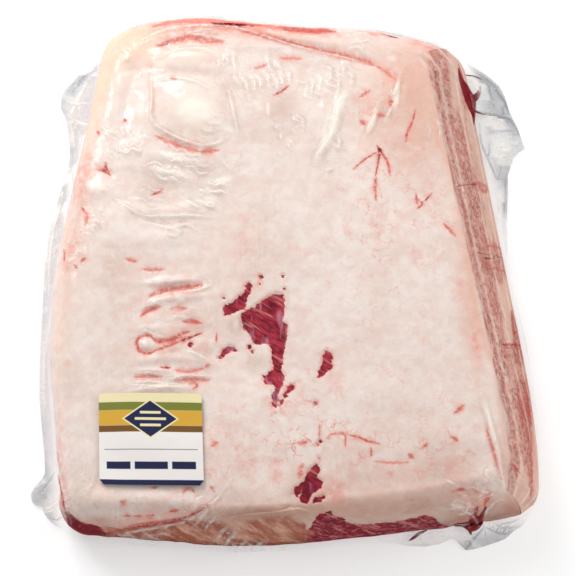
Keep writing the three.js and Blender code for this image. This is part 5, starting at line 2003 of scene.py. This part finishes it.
def tube_faces(rings, sides):
    """Quads between rings of a tube, with a fan at each end."""
    grid = np.arange(rings * sides).reshape(rings, sides)
    nearer, further = grid[:-1], grid[1:]
    corners = [nearer, further, np.roll(further, -1, 1), np.roll(nearer, -1, 1)]
    quads = np.stack(corners, -1).reshape(-1, 4)
    first, last = grid[0], grid[-1]
    start_fan = np.stack([first[:-2] * 0 + first[0], first[1:-1], first[2:]], 1)
    end_fan = np.stack([last[:-2] * 0 + last[0], last[2:], last[1:-1]], 1)
    return quads, np.vstack([start_fan, end_fan])


juice_finish, tree, juice_shader = new_material("juice_finish", {"Roughness": 0.1})
thick = tree.attribute("thick")
feed(thick.step(0.1, 0.8).blend(JUICE_THIN, JUICE_RED), juice_shader, "Base Color")
for name, curve in juice_curves.items():
    line = place_at_height(curve[:, :2], TRAIL_LEVEL)[:, :2]
    half_width = np.maximum(curve[:, 2], LEAST_TRAIL) * MM_PER_PIXEL
    direction = np.gradient(line, axis=0)
    direction /= np.linalg.norm(direction, axis=1, keepdims=True)
    angle = np.linspace(0, 2 * np.pi, TRAIL_SIDES, endpoint=False)
    sideways = half_width[:, None] * np.cos(angle)
    x = line[:, :1] - direction[:, 1:] * sideways
    y = line[:, 1:] + direction[:, :1] * sideways
    middle, half_gap = between_films(x, y)
    z = middle + half_gap * TRAIL_FULLNESS * np.sin(angle)
    quads, fans = tube_faces(*x.shape)
    thickness = np.broadcast_to(1 - np.abs(np.cos(angle)) ** 3, x.shape)
    points = np.stack([x, y, z], -1).reshape(-1, 3)
    juice = make_piece(name, points, quads, fans, {"thick": thickness.ravel()})
    juice.data.materials.append(juice_finish)
    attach(juice, "root")

# %% [markdown]
# ## Floor and light
# The photograph is a bright studio shot on white. A wide pale floor takes the soft shadow, and
# glows a little so that it comes out white. The sky is an even white that fills the shadows, and
# it is dimmer where the film reflects it. A large lamp shines from the back left, one from the
# right and a weak one from the front, and two small ones at the back left draw the glints on the
# film. The view transform is the plain one, so that white stays white.

# %% Floor, sky and lamps
FLOOR_HALF = 4000.0
FLOOR_GREY = (0.62, 0.62, 0.62, 1.0)
FLOOR_GLOW = 0.43
WHITE = (1.0, 1.0, 1.0, 1.0)
SKY_STRENGTH = 0.44
SKY_IN_GLOSS = 0.12
LAMPS = [  # direction from the slab, distance and width in mm, watts, seen in reflections
    ((-0.45, 0.60, 0.66), 1700.0, 900.0, 13.0, False),
    ((0.85, 0.05, 0.55), 1500.0, 1000.0, 9.0, False),
    ((0.20, -0.70, 0.68), 1600.0, 1000.0, 2.4, False),
    ((-0.70, 0.56, 0.45), 1500.0, 360.0, 5.0, True),
    ((-0.35, 0.80, 0.48), 1500.0, 360.0, 5.0, True),
]

corners = np.array([[-1, -1, 0], [1, -1, 0], [1, 1, 0], [-1, 1, 0]]) * FLOOR_HALF
floor = make_piece("floor", corners, np.array([[0, 1, 2, 3]]), np.zeros((0, 3), int), {})
floor_finish, _, _ = new_material(
    "floor_finish",
    {
        "Roughness": 0.9,
        "Base Color": FLOOR_GREY,
        "Emission Color": WHITE,
        "Emission Strength": FLOOR_GLOW,
    },
)
floor.data.materials.append(floor_finish)

world = bpy.data.worlds.new("studio")
world.use_nodes = True
sky = Wire(world.node_tree)
in_gloss = sky.node("ShaderNodeLightPath", {}, {}, "Is Glossy Ray")
strength = SKY_STRENGTH - in_gloss * (SKY_STRENGTH - SKY_IN_GLOSS)
background = world.node_tree.nodes["Background"]
background.inputs["Color"].default_value = WHITE
world.node_tree.links.new(strength.socket, background.inputs["Strength"])
bpy.context.scene.world = world

for number, (direction, distance, width, watts, glints) in enumerate(LAMPS, 1):
    lamp = bpy.data.objects.new(f"lamp_{number}", bpy.data.lights.new(f"lamp_{number}", "AREA"))
    lamp.data.size = width * METRE_PER_MM
    lamp.data.energy = watts
    lamp.visible_glossy = glints
    away = np.array(direction) / np.linalg.norm(direction)
    lamp.location = (CAMERA_TARGET + distance * away) * METRE_PER_MM
    tilt = float(np.arccos(away[2]))
    heading = float(np.arctan2(away[1], away[0])) + np.pi / 2
    lamp.rotation_euler = (tilt, 0, heading)
    bpy.context.scene.collection.objects.link(lamp)

view = bpy.context.scene.view_settings
view.view_transform = "Standard"
view.look = "None"
print("lamps", len(LAMPS))
